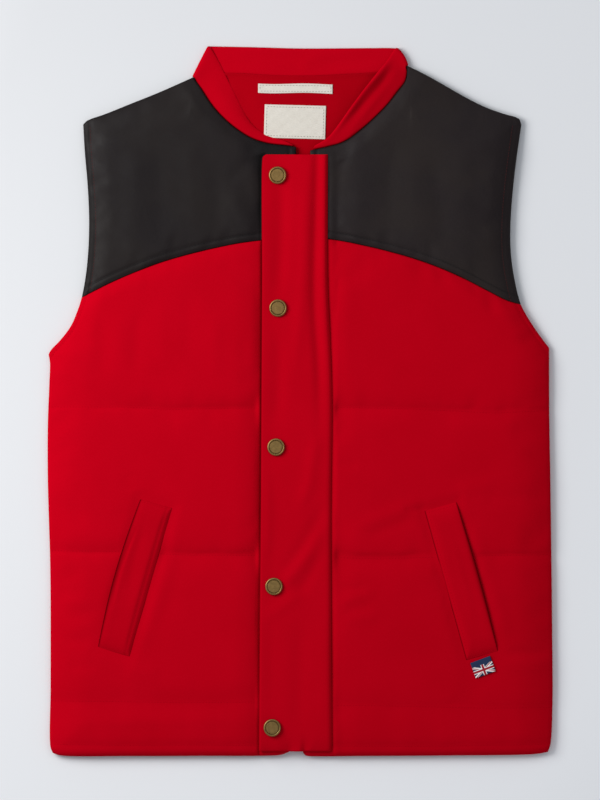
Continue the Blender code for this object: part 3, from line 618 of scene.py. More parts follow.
# %% Shader sums
class Reading:
    """The value of one socket, which can be added, multiplied and so on."""

    def __init__(self, finish, socket):
        self.finish, self.socket = finish, socket

    def sum_with(self, operation, first, second):
        return self.finish.node("ShaderNodeMath", {"operation": operation}, {0: first, 1: second})

    def __add__(self, other):
        return self.sum_with("ADD", self, other)

    def __sub__(self, other):
        return self.sum_with("SUBTRACT", self, other)

    def __rsub__(self, other):
        return self.sum_with("SUBTRACT", other, self)

    def __mul__(self, other):
        return self.sum_with("MULTIPLY", self, other)

    def __pow__(self, other):
        return self.sum_with("POWER", self, other)

    __radd__, __rmul__ = __add__, __mul__


class Finish:
    """A material in the making: the shader's own constants, and nodes for what varies."""

    def __init__(self, name, **constants):
        self.material = bpy.data.materials.new(name)
        self.material.use_nodes = True
        self.tree = self.material.node_tree
        self.shader = self.tree.nodes["Principled BSDF"]
        for socket, value in constants.items():
            self.shader.inputs[socket.replace("_", " ")].default_value = value

    def node(self, kind, settings, sockets, output=0):
        """Adds a node: first its settings, then the values or links of its sockets."""
        made = self.tree.nodes.new(kind)
        for key, value in settings.items():
            setattr(made, key, value)
        for key, value in sockets.items():
            if isinstance(value, Reading):
                self.tree.links.new(value.socket, made.inputs[key])
            else:
                made.inputs[key].default_value = value
        return Reading(self, made.outputs[output])

    def place(self, on_pattern=True):
        """Where a point is: on the piece's flat pattern, or in the object's own space."""
        if on_pattern:
            return self.node("ShaderNodeUVMap", {"uv_map": "cloth"}, {})
        return self.node("ShaderNodeTexCoord", {}, {}, output="Object")

    def stretched(self, place, scale, turn=0.0):
        """The same places, scaled and turned, which draws a pattern out along the cloth."""
        return self.node("ShaderNodeMapping", {},
                         {"Vector": place, "Rotation": (0, 0, turn), "Scale": scale})

    def part(self, place, axis):
        return self.node("ShaderNodeSeparateXYZ", {}, {0: place}, output=axis)

    def size(self, value):
        return self.node("ShaderNodeMath", {"operation": "ABSOLUTE"}, {0: value})

    def painted(self, name):
        """An attribute that was written on the mesh, from 0 to 1."""
        return self.node("ShaderNodeAttribute", {"attribute_name": name}, {}, output="Fac")

    def noise(self, place, size, detail=2.0, rough=0.5):
        """Cloudy noise from 0 to 1, with blobs about this many metres across."""
        return self.node("ShaderNodeTexNoise", {}, {"Vector": place, "Scale": 1.0 / size,
                                                    "Detail": detail, "Roughness": rough})

    def wave(self, place, size, direction="X"):
        """Stripes about this many metres apart."""
        return self.node("ShaderNodeTexWave", {"bands_direction": direction},
                         {"Vector": place, "Scale": 0.314 / size}, output="Fac")

    def between(self, value, low, high, start=0.0, stop=1.0):
        """Eases from start to stop while the value goes from low to high."""
        return self.node("ShaderNodeMapRange", {"interpolation_type": "SMOOTHSTEP"},
                         {"Value": value, "From Min": low, "From Max": high,
                          "To Min": start, "To Max": stop})

    def mixed(self, share, first, second):
        """A colour between two colours."""
        return self.node("ShaderNodeMix", {"data_type": "RGBA", "clamp_factor": True},
                         {0: share, 6: first, 7: second}, output=2)

    def bump(self, height, distance, strength=1.0):
        made = self.node("ShaderNodeBump", {}, {"Height": height, "Distance": distance,
                                                "Strength": strength}, output="Normal")
        self.feed("Normal", made)

    def feed(self, socket, reading):
        self.tree.links.new(reading.socket, self.shader.inputs[socket])


print("two classes for materials")

# %% [markdown]
# ## Brushed red cloth
#
# The body is a dense twill whose face was brushed to a short nap, so it is matt and deep, with no
# gloss at all. Up close there are short fibres that lie down the garment, over a fine diagonal
# weave; from further off the dye is very slightly cloudy. A dyed cloth could also be one flat
# colour with bump, but the fibres carry much of the look, so they change the colour too. Each
# piece carries painted shade beside seams and raised edges, where shadow falls, and the facing
# gets a darker copy of the cloth as painted shade.

# %% Red cloth
def red_cloth(name, deep=(0.412, 0.0003, 0.0062, 1.0), lit=(0.500, 0.0005, 0.0096, 1.0)):
    cloth = Finish(name, Roughness=0.95, Specular_IOR_Level=0.0)
    spot = cloth.place()
    cloudy = cloth.noise(spot, 0.055, 3.0)
    fibres = cloth.noise(cloth.stretched(spot, (1.0, 0.22, 1.0)), 0.00045, 3.0, 0.65)
    lint = cloth.noise(cloth.stretched(spot, (1.0, 0.6, 1.0), 0.5), 0.0016, 2.0)
    twill = cloth.wave(cloth.stretched(spot, (1.0, 1.0, 1.0), 0.72), 0.0009)
    tone = 0.5 + (cloudy - 0.5) * 0.55 + (fibres - 0.5) * 0.9 + (lint - 0.5) * 0.35 \
        + (twill - 0.5) * 0.10
    colour = cloth.mixed(tone, deep, lit)
    # Painted shade: the shade attribute darkens the colour towards near black
    cloth.feed("Base Color", cloth.mixed(cloth.painted("shade"), colour,
                                         (0.055, 0.0001, 0.0008, 1.0)))
    cloth.bump(fibres * 0.6 + lint * 0.35 + twill * 0.25, 0.00022, 0.55)
    return cloth.material


RED_CLOTH = red_cloth("brushed_red_cloth")
# A darker copy of the same cloth: painted shade for the facing inside the neck
SHADED_INSIDE_RED = red_cloth("shaded_inside_red_cloth", (0.330, 0.0003, 0.0044, 1.0),
                       (0.414, 0.0005, 0.0070, 1.0))
print("made", RED_CLOTH.name, "and", SHADED_INSIDE_RED.name)

# %% [markdown]
# ## Waxed cotton
#
# The yokes are a fine plain-weave cotton with a dry wax finish. The wax is not even: it makes soft
# olive and brown clouds, slightly shinier and duller places, and pale hair lines where the cloth
# was creased. The weave itself is just visible from very near.

# %% Waxed cotton
waxed = Finish("waxed_dark_cotton", Specular_IOR_Level=0.165)
spot = waxed.place()
clouds = waxed.noise(spot, 0.085, 3.0, 0.55)
patches = waxed.noise(spot, 0.02, 3.0)
weave = waxed.wave(spot, 0.00055, "X") * waxed.wave(spot, 0.00055, "Y")
slub = waxed.noise(waxed.stretched(spot, (0.25, 1.0, 1.0)), 0.0007, 2.0, 0.6)
crazed = waxed.noise(waxed.stretched(spot, (1.0, 0.7, 1.0), 0.4), 0.016, 4.0, 0.7)
hair_lines = 1.0 - waxed.between(waxed.size(crazed - 0.5), 0.0, 0.010)
ground = waxed.mixed(waxed.between(clouds, 0.38, 0.66), (0.0104, 0.0064, 0.0072, 1.0),
                     (0.0140, 0.0092, 0.0084, 1.0))
ground = waxed.mixed((patches - 0.5) * 0.3 + (slub - 0.5) * 0.7 + hair_lines * 0.10 + 0.1, ground,
                     (0.027, 0.0195, 0.0178, 1.0))
# Painted shade: the colour deepens a little towards the wearer's right, the side nearest the key
# light, so that both yokes come out about as dark
key_side_shade = waxed.between(waxed.part(spot, "X"), -0.2, 0.12, 0.48, 1.0)
ground = waxed.mixed(key_side_shade, (0.0015, 0.0008, 0.0010, 1.0), ground)
# Painted shade: the shade attribute darkens the cloth where shadow falls beside the placket, the
# collar and the armhole
waxed.feed("Base Color", waxed.mixed(waxed.painted("shade"), ground,
                                     (0.0012, 0.0008, 0.0008, 1.0)))
waxed.feed("Roughness", waxed.between(patches + (clouds - 0.5) * 0.6, 0.25, 0.75, 0.50, 0.66))
waxed.bump(weave * 0.5 + slub * 0.5 + hair_lines * 0.5, 0.00013, 0.5)
WAXED_COTTON = waxed.material
print("made", WAXED_COTTON.name)

# %% [markdown]
# ## Tapes and thread
#
# Labels are woven tape: cream, with fine ribs across. Thread is slightly shiny, apart from the red,
# which sinks into the nap. It could be drawn as a dashed line, but raised stitches catch light.

# %% Tapes and thread
tape = Finish("woven_cream_tape", Roughness=0.78, Specular_IOR_Level=0.25)
spot = tape.place()
ribs = tape.wave(spot, 0.00042, "Y")
flecks = tape.noise(tape.stretched(spot, (0.3, 1.0, 1.0)), 0.0009, 3.0, 0.6)
stain = tape.noise(spot, 0.02, 2.0)
tape.feed("Base Color", tape.mixed((flecks - 0.5) * 1.1 + ribs * 0.25 + (stain - 0.5) * 0.4 + 0.35,
                                   (0.585, 0.545, 0.47, 1.0), (0.74, 0.706, 0.64, 1.0)))
tape.bump(ribs * 0.6 + flecks * 0.5, 0.0001, 0.6)
CREAM_TAPE = tape.material


def thread(name, colour, gloss=0.15):
    yarn = Finish(name, Roughness=0.6, Specular_IOR_Level=gloss)
    twist = yarn.noise(yarn.place(on_pattern=False), 0.0006, 1.0)
    darker = tuple(c * 0.6 for c in colour[:3]) + (1.0,)
    yarn.feed("Base Color", yarn.mixed(twist, darker, colour))
    return yarn.material


RED_THREAD = thread("red_thread", (0.44, 0.0004, 0.008, 1.0), 0.0)
RUST_THREAD = thread("rust_thread", (0.085, 0.012, 0.012, 1.0))
BLACK_THREAD = thread("black_thread", (0.011, 0.009, 0.010, 1.0))
GREY_THREAD = thread("grey_thread", (0.38, 0.36, 0.31, 1.0))

# %% [markdown]
# ## Old brass
#
# The studs are plated brass that has aged: brown in the hollows, brighter where cloth has rubbed
# the rim. The cap's own shape says where it is hollow, so the dirt lies where it really gathers.

# %% Old brass
brass = Finish("old_brass", Metallic=1.0)
spot = brass.place(on_pattern=False)
tarnish = brass.noise(spot, 0.004, 4.0, 0.6)
scuffs = brass.noise(brass.stretched(spot, (1.0, 0.2, 1.0), 0.6), 0.0005, 2.0, 0.6)
hollow = brass.painted("hollow")
metal = brass.mixed(tarnish * 0.7 + scuffs * 0.3, (0.205, 0.130, 0.045, 1.0),
                    (0.34, 0.218, 0.080, 1.0))
metal = brass.mixed(hollow * 0.9, metal, (0.07, 0.045, 0.016, 1.0))
brass.feed("Base Color", metal)
brass.feed("Roughness", brass.between(tarnish + hollow * 0.4, 0.3, 0.9, 0.42, 0.62))
brass.bump(scuffs * 0.5 + tarnish * 0.5, 0.00008, 0.4)
OLD_BRASS = brass.material
print("made", OLD_BRASS.name)

# %% [markdown]
# ## Navy tape with a flag, and the table's paper
#
# The tab on the pocket is navy tape with a woven Union flag. A weaver sets it thread by thread, and
# here it is drawn from its proportions alone, as bars across a field twice as wide as it is high.
# The diagonals' red swaps sides from arm to arm. The table is pale paper, toned down towards the
# key light, so that the ground comes out as even as a shop's backdrop.

# %% Union flag tape
FLAG_HIGH, TAB_WIDE, TAB_HIGH = 11.4, 22.4, 17.2
# Half widths of the bars, as shares of the flag's height
RED_BAR, WHITE_EDGE, DIAGONAL, DIAGONAL_RED = 0.1, 0.1667, 0.1118, 0.0373


def flag_tape():
    """Navy tape whose lower part is a woven Union flag, from its proportions on a 2 to 1 field."""
    woven = Finish("flag_tape", Roughness=0.7, Specular_IOR_Level=0.25)
    spot = woven.place()
    size = woven.size
    x = woven.part(spot, "X") * (1.0 / (FLAG_HIGH * MM))
    y = woven.part(spot, "Y") * (1.0 / (FLAG_HIGH * MM)) + (TAB_HIGH / FLAG_HIGH - 1.0) / 2

    def inside(value, half):
        return 1.0 - woven.between(value, half - 0.012, half + 0.012)

    rising, falling = (y - x * 0.5) * 0.894, (y + x * 0.5) * 0.894
    white = inside(size(rising), DIAGONAL) + inside(size(falling), DIAGONAL)
    side_of = woven.between(x * y, -0.0005, 0.0005)         # swaps the red of the diagonals
    half_turn = woven.between(x, -0.002, 0.002, -1.0, 1.0)
    off_rising = size(rising - half_turn * DIAGONAL_RED)
    off_falling = size(falling - half_turn * DIAGONAL_RED)
    red = inside(off_rising, DIAGONAL_RED) * side_of \
        + inside(off_falling, DIAGONAL_RED) * (1.0 - side_of)
    cross = inside(size(x), WHITE_EDGE) + inside(size(y), WHITE_EDGE)
    white = white + cross
    red = red * (1.0 - woven.between(cross, 0.4, 0.6)) \
        + inside(size(x), RED_BAR) + inside(size(y), RED_BAR)
    on_flag = inside(size(y), 0.5)
    ribs = woven.wave(spot, 0.0005, "Y")
    colour = woven.mixed(white * on_flag, (0.012, 0.028, 0.082, 1.0), (0.93, 0.90, 0.88, 1.0))
    colour = woven.mixed(red * on_flag, colour, (0.36, 0.006, 0.018, 1.0))
    woven.feed("Base Color", woven.mixed(ribs * 0.14, colour, (0.01, 0.01, 0.02, 1.0)))
    woven.bump(ribs, 0.0001, 0.6)
    return woven.material


FLAG_TAPE = flag_tape()
paper = Finish("table_paper", Roughness=0.9, Specular_IOR_Level=0.1)
far = paper.node("ShaderNodeVectorMath", {"operation": "DISTANCE"},
                 {0: paper.place(on_pattern=False), 1: (-0.9, 0.69, 0.0)}, output="Value")
paper.feed("Base Color", paper.mixed((far - 0.68) * 1.12, (0.575, 0.585, 0.602, 1.0),
                                     (0.915, 0.93, 0.952, 1.0)))
table.data.materials.append(paper.material)
print("finishes:", len(bpy.data.materials))

# %% [markdown]
# ## The lower panels
#
# Each lower panel runs from the hem to the yoke seam, and from the side seam and the armhole to the
# front edge. It is made of level sections, closer together at the quilting lines, and the lowest
# and highest of them bend into the hem's and the seam's own curves.

# %% Sections of a lower panel
QUILT_MARKS = (-6.6, -160.5, -319.5)
PITCH = 6.4                     # between the grid lines of a coarse panel, in millimetres
HEM_STITCH = 11.0               # how far above the hem its stitched line runs


def section_grid(rows, left_of, right_of, bottom, top, columns, last=RIM):
    """Sections from edge to edge. A row is (y, y at its far end, share of bottom, share of top)."""
    made = []
    for near_y, far_y, low_share, high_share in rows:
        a, b = left_of(near_y), right_of(far_y)
        u = stations(np.linalg.norm(b - a), columns, last=last)[:, None]
        section = a + (b - a) * u
        for share, curve in ((low_share, bottom), (high_share, top)):
            if share:
                on_curve = along(curve, stations(travelled(curve)[-1], columns, last=last))
                section = section + share * (on_curve - (curve[0] + (curve[-1] - curve[0]) * u))
        made.append(section)
    return np.array(made)


def body_rows(hem, underarm, seam, pitch):
    """The sections' heights from a hem to a yoke seam, from those curves' two ends."""
    (hem_near, hem_far), (top_near, top_far) = hem[[0, -1], 1], seam[[0, -1], 1]
    marks = {hem_near + d for d in RIM} | {hem_near + HEM_STITCH + d for d in (-1.5, 0.0, 1.5)}
    marks |= {y + d for y in QUILT_MARKS for d in (-5.0, -2.0, 0.0, 2.0, 5.0)} | {underarm - 3.0}
    rows = []
    for y in filled(marks, pitch):
        share = max(0.0, 1 - (y - hem_near) / 14.0)
        rows.append((y, y + (hem_far - hem_near) * share, share, 0.0))
    reach_up = (top_near + top_far) / 2 - underarm
    for share in stations(reach_up, round(reach_up / pitch) + 8, (0.0,), RIM):
        rows.append((underarm + (top_near - underarm) * share,
                     underarm + (top_far - underarm) * share, 0.0, ease(share)))
    return rows


# Distances from the front edge of its grid lines, closer together where the placket's edge lies
AT_PLACKET = {"right": RIM + (12.0, 17.0, 22.0, 26.5)
              + tuple(28.0 + 0.9 * k for k in range(12)) + (40.5, 44.0),
              "left": RIM + (12.0, 17.0)
              + tuple(20.5 + 0.95 * k for k in range(14)) + (35.5, 40.0)}


def joined(*names):
    """Two seam lines or more as one."""
    lines = [LINES[name] for name in names]
    return np.vstack([lines[0]] + [line[1:] for line in lines[1:]])


def front_body_plan(side):
    outer, front = joined("side_" + side, "armhole_" + side), LINES["front_" + side]
    seam, hem = LINES["yoke_" + side], LINES["hem_" + side]
    rows = body_rows(hem, LINES["side_" + side][-1, 1], seam, PITCH)
    return section_grid(rows, lambda y: at_height(outer, y), lambda y: at_height(front, y),
                        hem, seam, 72, AT_PLACKET[side])


print("sections of the right front:", front_body_plan("right").shape)

# %% [markdown]
# ## Wadding, by cloth simulation
#
# A quilted panel is two cloths with wadding between them, sewn through along lines. The closed
# panel is blown up from inside with Blender's Cloth while its seams and quilting lines are held,
# and with slightly more cloth than the flat pattern has, so that it puckers beside the stitching
# as a real one does. Only the rise of its face is kept, within a limit, and nothing rises under
# the placket and the pockets, where the wadding is pressed flat.

# %% Wadding
WELTS = {"right": ((-174.9, -186.4), 16.0), "left": ((170.6, -190.0), -15.6)}
WELT_LENGTH, WELT_WIDTH = 164.0, 35.0
FLAG_PLACE, FLAG_TURN = (193.4, -280.9), 20.4
SIMULATED_STEPS = 20


def pocket_axes(side):
    """A pocket's middle, and its directions outwards and up, on the table."""
    middle, lean = WELTS[side]
    out, spin = (-1 if side == "right" else 1), -math.radians(lean)
    c, s = math.cos(spin), math.sin(spin)
    return np.array(middle), out * np.array([c, s]), np.array([-s, c])


def pocket_frame(places, side):
    """Places as seen from a pocket: distance across it, outwards, and distance up along it."""
    middle, outwards, up = pocket_axes(side)
    return (places - middle) @ outwards, (places - middle) @ up


def under_pocket(places, side, fade=9.0):
    """1 under a welt or the flag tab, easing to 0 beside it."""
    across, up = pocket_frame(places, side)
    outside = np.maximum(np.abs(across) - WELT_WIDTH / 2, np.abs(up) - WELT_LENGTH / 2)
    inside = 1 - ease(outside / fade)
    if side == "left":
        tab = np.hypot(places[:, 0] - FLAG_PLACE[0], places[:, 1] - FLAG_PLACE[1])
        inside = np.maximum(inside, 1 - ease((tab - 13.0) / fade))
    return inside


def wadding_rise(name, plan, low, high, held, free, limit, pressure):
    """Simulates the closed panel and returns how far its upper face rises, as a grid.

    held is 1 where the face is sewn or pressed down, free scales the rise, and limit is the most
    that it may be, in millimetres.
    """
    shape = plan.shape[:2]
    pad = cloth_piece(name, with_height(plan, low), with_height(plan, high))
    group = pad.vertex_groups.new(name="held")
    count = held.size
    for k, weight in enumerate(held.ravel()):
        group.add([k], float(weight), "REPLACE")
    group.add(list(range(count, 2 * count)), 1.0, "REPLACE")
    cloth = pad.modifiers.new("wadding", "CLOTH")
    made = cloth.settings
    made.quality, made.mass = 6, 0.15
    made.tension_stiffness = made.compression_stiffness = 12.0
    made.shear_stiffness, made.bending_stiffness = 6.0, 0.4
    made.use_pressure, made.uniform_pressure_force = True, pressure
    made.shrink_min = -0.018
    made.vertex_group_mass = "held"
    made.effector_weights.gravity = 0.0
    cloth.collision_settings.use_collision = False
    for step in range(1, SIMULATED_STEPS + 1):
        bpy.context.scene.frame_set(step)
    swollen = pad.evaluated_get(bpy.context.evaluated_depsgraph_get()).to_mesh()
    z = np.array([v.co.z for v in swollen.vertices])[:count].reshape(shape) / MM
    print(name, "rises by up to", round(float((z - high).max()), 2), "mm")
    bpy.data.objects.remove(pad)
    bpy.context.scene.frame_set(1)
    rise = np.clip(z - high, -0.5, limit)
    for _ in range(4):                  # thick wadding lets only soft puckers through
        rise[1:-1, 1:-1] = (rise[1:-1, 1:-1] * 4 + rise[:-2, 1:-1] + rise[2:, 1:-1]
                            + rise[1:-1, :-2] + rise[1:-1, 2:]) / 8
    return rise * free


def edge_ring(shape):
    """1 on the border of a grid, 0 inside."""
    ring = np.zeros(shape)
    ring[[0, -1], :] = ring[:, [0, -1]] = 1.0
    return ring


def laid_on_back(plan):
    """A plan's places in one list, its shape, and how high the cloth laid there starts."""
    places, shape = plan.reshape(-1, 2), plan.shape[:2]
    return places, shape, (inner_height(places) + BACK_LIFT).reshape(shape)


print("the wadding is blown up in", SIMULATED_STEPS, "steps")

# %% [markdown]
# ## The lower fronts
#
# Each lower front is two red cloths over wadding, quilted across at the same three heights. It
# could be one plain pad with lines drawn on, but what shows is how the cloth gives way: it dips
# along the quilting, is pressed flat by the placket and the pockets, and puckers beside both. So
# the coarse panel is simulated first, and a finer one takes its rise, its folds and its rolled rim.

# %% Lower fronts
WADDING_LIMIT, WADDING_PRESSURE = 1.5, 3.0


def lower_front(side):
    coarse = parted(front_body_plan(side))
    places, shape, low = laid_on_back(coarse)
    high = low + (front_thickness(places, side) - quilting(places, side)).reshape(shape)
    away = np.min([np.abs(places[:, 1] - from_table(wander, places[:, 0]))
                   for wander, _ in QUILTING[side]], axis=0).reshape(shape)
    pressed = np.maximum(under_pocket(places, side),
                         1 - beside_placket(places, BED_HALF_WIDTH + 1.0, 8.0)).reshape(shape)
    held = np.maximum.reduce([edge_ring(shape), away < 2.4, pressed > 0.95])
    rise = wadding_rise("wadding_" + side, coarse, low, high, held.astype(float), 1 - pressed,
                        WADDING_LIMIT, WADDING_PRESSURE)

    plan = refined(coarse)
    places, shape, low = laid_on_back(plan)
    face = front_thickness(places, side) + front_relief(places, side)
    face += 0.85 * quilting(places, side) * under_pocket(places, side, 4.0)
    face += refined(rise[..., None])[..., 0].ravel() * from_table(SWELLING, places[:, 1])
    high = low + face.reshape(shape)
    low, high = rolled(plan, low, high, [(3.2, 0.22), (1.8, 0.62), (4.5, 0.22), (3.0, 0.35)])
    return cloth_piece("lower_front_" + side, with_height(plan, low), with_height(plan, high),
                       shade=placket_shade(places, side).reshape(shape))


for side in ("right", "left"):
    panel = lower_front(side)
    settle(panel, RED_CLOTH, "red_cloth", "front_body_" + side)
    print(panel.name, len(panel.data.polygons), "faces")

# %% [markdown]
# ## The shoulder yokes
#
# The yokes are cut from waxed cotton over thin wadding. Their columns run up from the yoke seam to
# the shoulder and the neckline. A row of stitching holds the seam allowance down just above the
# seam, and another follows the armhole; both pull a fine groove into the cloth. The cloth is stiff,
# so its only folds are long, soft and upright.

# %% Yokes
YOKE_WADDING_LIMIT, YOKE_WADDING_PRESSURE = 0.7, 1.0
# How far in from the yoke seam and the armhole the stitching runs
YOKE_STITCH, ARMHOLE_STITCH = 7.4, {"right": 7.2, "left": 9.2}
# How wide the shadow beside the placket is at each height
YOKE_SHADOW_WIDTH = [(172, 3.2), (180, 1.8), (190, 2.2), (199, 4.2), (207, 4.6), (216, 2.0),
                     (232, 2.4), (246, 6.0), (258, 11.0), (268, 16.0)]
YOKE_FOLDS = {
    "right": [
        (-0.50, 9, [(-88, 166), (-87, 205), (-90, 262)]),
        (0.45, 12, [(-112, 160), (-114, 210), (-118, 290)]),
        (-0.45, 11, [(-146, 150), (-149, 205), (-147, 280)]),
        (0.45, 12, [(-176, 142), (-178, 200), (-172, 286)]),
        (-0.50, 7, [(-38, 176), (-50, 205), (-66, 246)]),
        (0.50, 7, [(-50, 172), (-62, 198), (-78, 226)]),
        (-0.70, 8, [(-42, 262), (-60, 250), (-80, 226)]),
        (0.40, 14, [(-202, 160), (-206, 215), (-205, 284)]),
        (0.35, 8, [(-214, 296), (-180, 306), (-140, 322)]),
    ],
    "left": [
        (-0.50, 9, [(96, 170), (94, 228), (101, 288)]),
        (0.45, 12, [(122, 154), (121, 205), (120, 280)]),
        (-0.55, 10, [(146, 150), (148, 200), (139, 270)]),
        (0.45, 13, [(172, 138), (174, 195), (170, 282)]),
        (0.45, 12, [(66, 178), (64, 208), (70, 262)]),
        (-0.25, 8, [(38, 206), (46, 213), (58, 220)]),
        (0.25, 8, [(36, 184), (46, 180), (60, 182)]), (-0.25, 9, [(44, 240), (52, 262), (66, 276)]),
        (0.35, 10, [(200, 126), (203, 180), (202, 262)]),
        (0.40, 7, [(190, 309), (205, 303), (222, 298)]),
    ],
}


def columns_between(low, high, rows):
    """Straight columns from the low points to the high ones."""
    levels = np.array([stations(np.linalg.norm(b - a), rows) for a, b in zip(low, high)])
    return low + (high - low) * levels.T[..., None]


def pull_to_edge(plan, column, edge, fade):
    """Moves the first or last column onto an edge, and those beside it by less."""
    target = np.array([at_height(edge, y) for y in plan[:, column, 1]])
    weight = np.linspace(1, 0, plan.shape[1]) ** fade
    if column:
        weight = weight[::-1]
    plan += (target - plan[:, column])[:, None] * weight[None, :, None]


def yoke_plan(side, on_shoulder=32, on_neck=40, rows=52):
    seam = LINES["yoke_" + side]
    shoulder, neck = LINES["shoulder_" + side], LINES["neck_" + side]
    low = along(seam, stations(travelled(seam)[-1], on_shoulder + on_neck - 1))
    to_neck = along(shoulder, stations(travelled(shoulder)[-1], on_shoulder, RIM, MEETING))
    to_front = along(neck, stations(travelled(neck)[-1], on_neck, MEETING, RIM))
    plan = columns_between(low, np.vstack([to_neck, to_front[1:]]), rows)
    pull_to_edge(plan, 0, LINES["armhole_" + side], 2)
    pull_to_edge(plan, -1, LINES["front_" + side], 6)
    return plan


def yoke_relief(places, side):
    """Folds, slow unevenness and the grooves of the stitching on a yoke."""
    seam, armhole = distance_to("yoke_" + side, places), distance_to("armhole_" + side, places)
    stitch = ARMHOLE_STITCH[side]
    sewn = 0.55 * bell(seam - YOKE_STITCH, 1.1) - 0.35 * bell(seam - 3.6, 2.6)
    sewn += 0.65 * bell(armhole - stitch, 1.2) - 0.35 * bell(armhole - stitch * 0.55, 2.4)
    turned = {"right": -11.5, "left": 17.0}[side]       # the turned front edge shows at the neck
    sewn += 0.8 * bell(places[:, 0] - turned, 1.2) * ease((places[:, 1] - 250.0) / 10.0)
    clear = beside_placket(places, BED_HALF_WIDTH - 2.0, 8.0)
    slow = uneven(places, 60.0, 0.45, 5.3) + uneven(places, 24.0, 0.18, 1.9)
    return clear * (folds(places, YOKE_FOLDS[side]) + slow) - sewn - placket_furrow(places, side)


def yoke_shade(places, side):
    """Painted shade in dark lines: beside the placket, wider towards the collar, and along the
    turned edges.
    """
    away = outside_placket(places, side)
    wide = from_table(YOKE_SHADOW_WIDTH, places[:, 1])
    beside_it = {"right": 0.92, "left": 0.25}[side] * bell(np.maximum(away - 0.3, 0), wide)
    turned = {"right": -10.5, "left": 16.0}[side]
    at_turned = 0.7 * bell(places[:, 0] - turned, 2.2) * (places[:, 1] > 250.0)
    armhole = distance_to("armhole_" + side, places)
    armhole_shade = 0.45 * bell(armhole - ARMHOLE_STITCH[side] * 0.8, 0.9)
    if side == "right":                 # painted shade also at the armhole, and between collar and placket
        armhole_shade = np.maximum(armhole_shade, 0.42 * (1 - ease((armhole - 5.0) / 2.5)))
        under = 0.85 * ease((places[:, 1] - 255.0) / 7.0) * ease((places[:, 0] + 46.0) / 8.0)
        at_turned = np.maximum(at_turned, under)
    seam = 0.35 * bell(distance_to("yoke_" + side, places) - YOKE_STITCH, 0.8)
    return np.maximum.reduce([beside_it * (away > -3.0), at_turned, armhole_shade, seam])


def shoulder_yoke(side):
    coarse = parted(yoke_plan(side))
    places, shape, low = laid_on_back(coarse)
    high = low + front_thickness(places, side).reshape(shape)
    pressed = (1 - beside_placket(places, BED_HALF_WIDTH + 1.0, 8.0)).reshape(shape)
    neck = distance_to("neck_" + side, places).reshape(shape)
    pressed = np.maximum(pressed, 1 - ease(neck / 10.0))
    held = np.maximum.reduce([edge_ring(shape), pressed > 0.95])
    rise = wadding_rise("yoke_wadding_" + side, coarse, low, high, held.astype(float), 1 - pressed,
                        YOKE_WADDING_LIMIT, YOKE_WADDING_PRESSURE)

    plan = refined(coarse)
    places, shape, low = laid_on_back(plan)
    high = low + (front_thickness(places, side) + yoke_relief(places, side)).reshape(shape) \
        + refined(rise[..., None])[..., 0]
    low, high = rolled(plan, low, high, [(1.3, 0.7), (3.0, 0.3), (4.0, 0.25), (3.0, 0.35)])
    return cloth_piece("shoulder_yoke_" + side, with_height(plan, low), with_height(plan, high),
                       shade=yoke_shade(places, side).reshape(shape))


for side in ("right", "left"):
    panel = shoulder_yoke(side)
    settle(panel, WAXED_COTTON, "dark_cloth", "front_yoke_" + side)
    print(panel.name, len(panel.data.polygons), "faces")

# %% [markdown]
# ## The back
#
# Only the rims of the back show from above, but it carries everything and is seen from the side,
# so it is quilted like the fronts. Its outer face rests flat on the table: the quilting lines and
# its rolled rim are all that lifts off.

# %% Back panels
BACK_GROOVE, GROOVE_REACH = 1.2, 7.0
FACING_HALF_WIDTH, FACING_DEPTH, FACING_TOP_Y, FACING_WALL = 108.0, 118.0, 346.0, 1.0
FACING_RECESS = (1.50, 1.22)


def facing_recess(places):
    """How much the back yoke gives way to the neck facing that lies on it."""
    x, y = places[:, 0] / FACING_HALF_WIDTH, (places[:, 1] - FACING_TOP_Y) / FACING_DEPTH
    outer, inner = FACING_RECESS
    return (FACING_WALL + 3 * GAP) * ease((outer - np.hypot(x, y)) / (outer - inner))


def lower_back_plan():
    right, left = joined("side_right", "armhole_right"), joined("side_left", "armhole_left")
    rows = body_rows(LINES["back_hem"], 55.0, LINES["back_yoke"], 9.0)
    return section_grid(rows, lambda y: at_height(right, y), lambda y: at_height(left, y),
                        LINES["back_hem"], LINES["back_yoke"], 70)


def back_yoke_plan(on_shoulder=28, on_neck=22, rows=40):
    """Columns from the back yoke seam up to the two shoulders and the back neck."""
    seam, neck = LINES["back_yoke"], LINES["back_neck"]
    low = along(seam, stations(travelled(seam)[-1], 2 * on_shoulder + on_neck - 2))
    tips = [along(line, stations(travelled(line)[-1], on_shoulder, RIM, MEETING))
            for line in (LINES["shoulder_right"], LINES["shoulder_left"])]
    across = along(neck, np.linspace(0, 1, on_neck))
    plan = columns_between(low, np.vstack([tips[0], across[1:-1], tips[1][::-1]]), rows)
    pull_to_edge(plan, 0, LINES["armhole_right"], 3)
    pull_to_edge(plan, -1, LINES["armhole_left"], 3)
    return plan


def back_panel(name, plan, quilted):
    """A back wall, flat on the table but for its rolled rim and, if quilted, its quilting."""
    plan = parted(plan)
    places, shape = plan.reshape(-1, 2), plan.shape[:2]
    away = np.abs(places[:, 1, None] - np.array(QUILT_MARKS)).min(1)
    low = quilted * BACK_GROOVE * np.clip(1 - away / GROOVE_REACH, 0, 1)
    high = inner_height(places) - (0.0 if quilted else facing_recess(places))
    low, high = rolled(plan, low.reshape(shape), high.reshape(shape),
                       [(3.5, 0.35), (3.0, 0.45), (3.5, 0.35), (3.5, 0.35)], level=0.5)
    return cloth_piece(name, with_height(plan, low), with_height(plan, high))


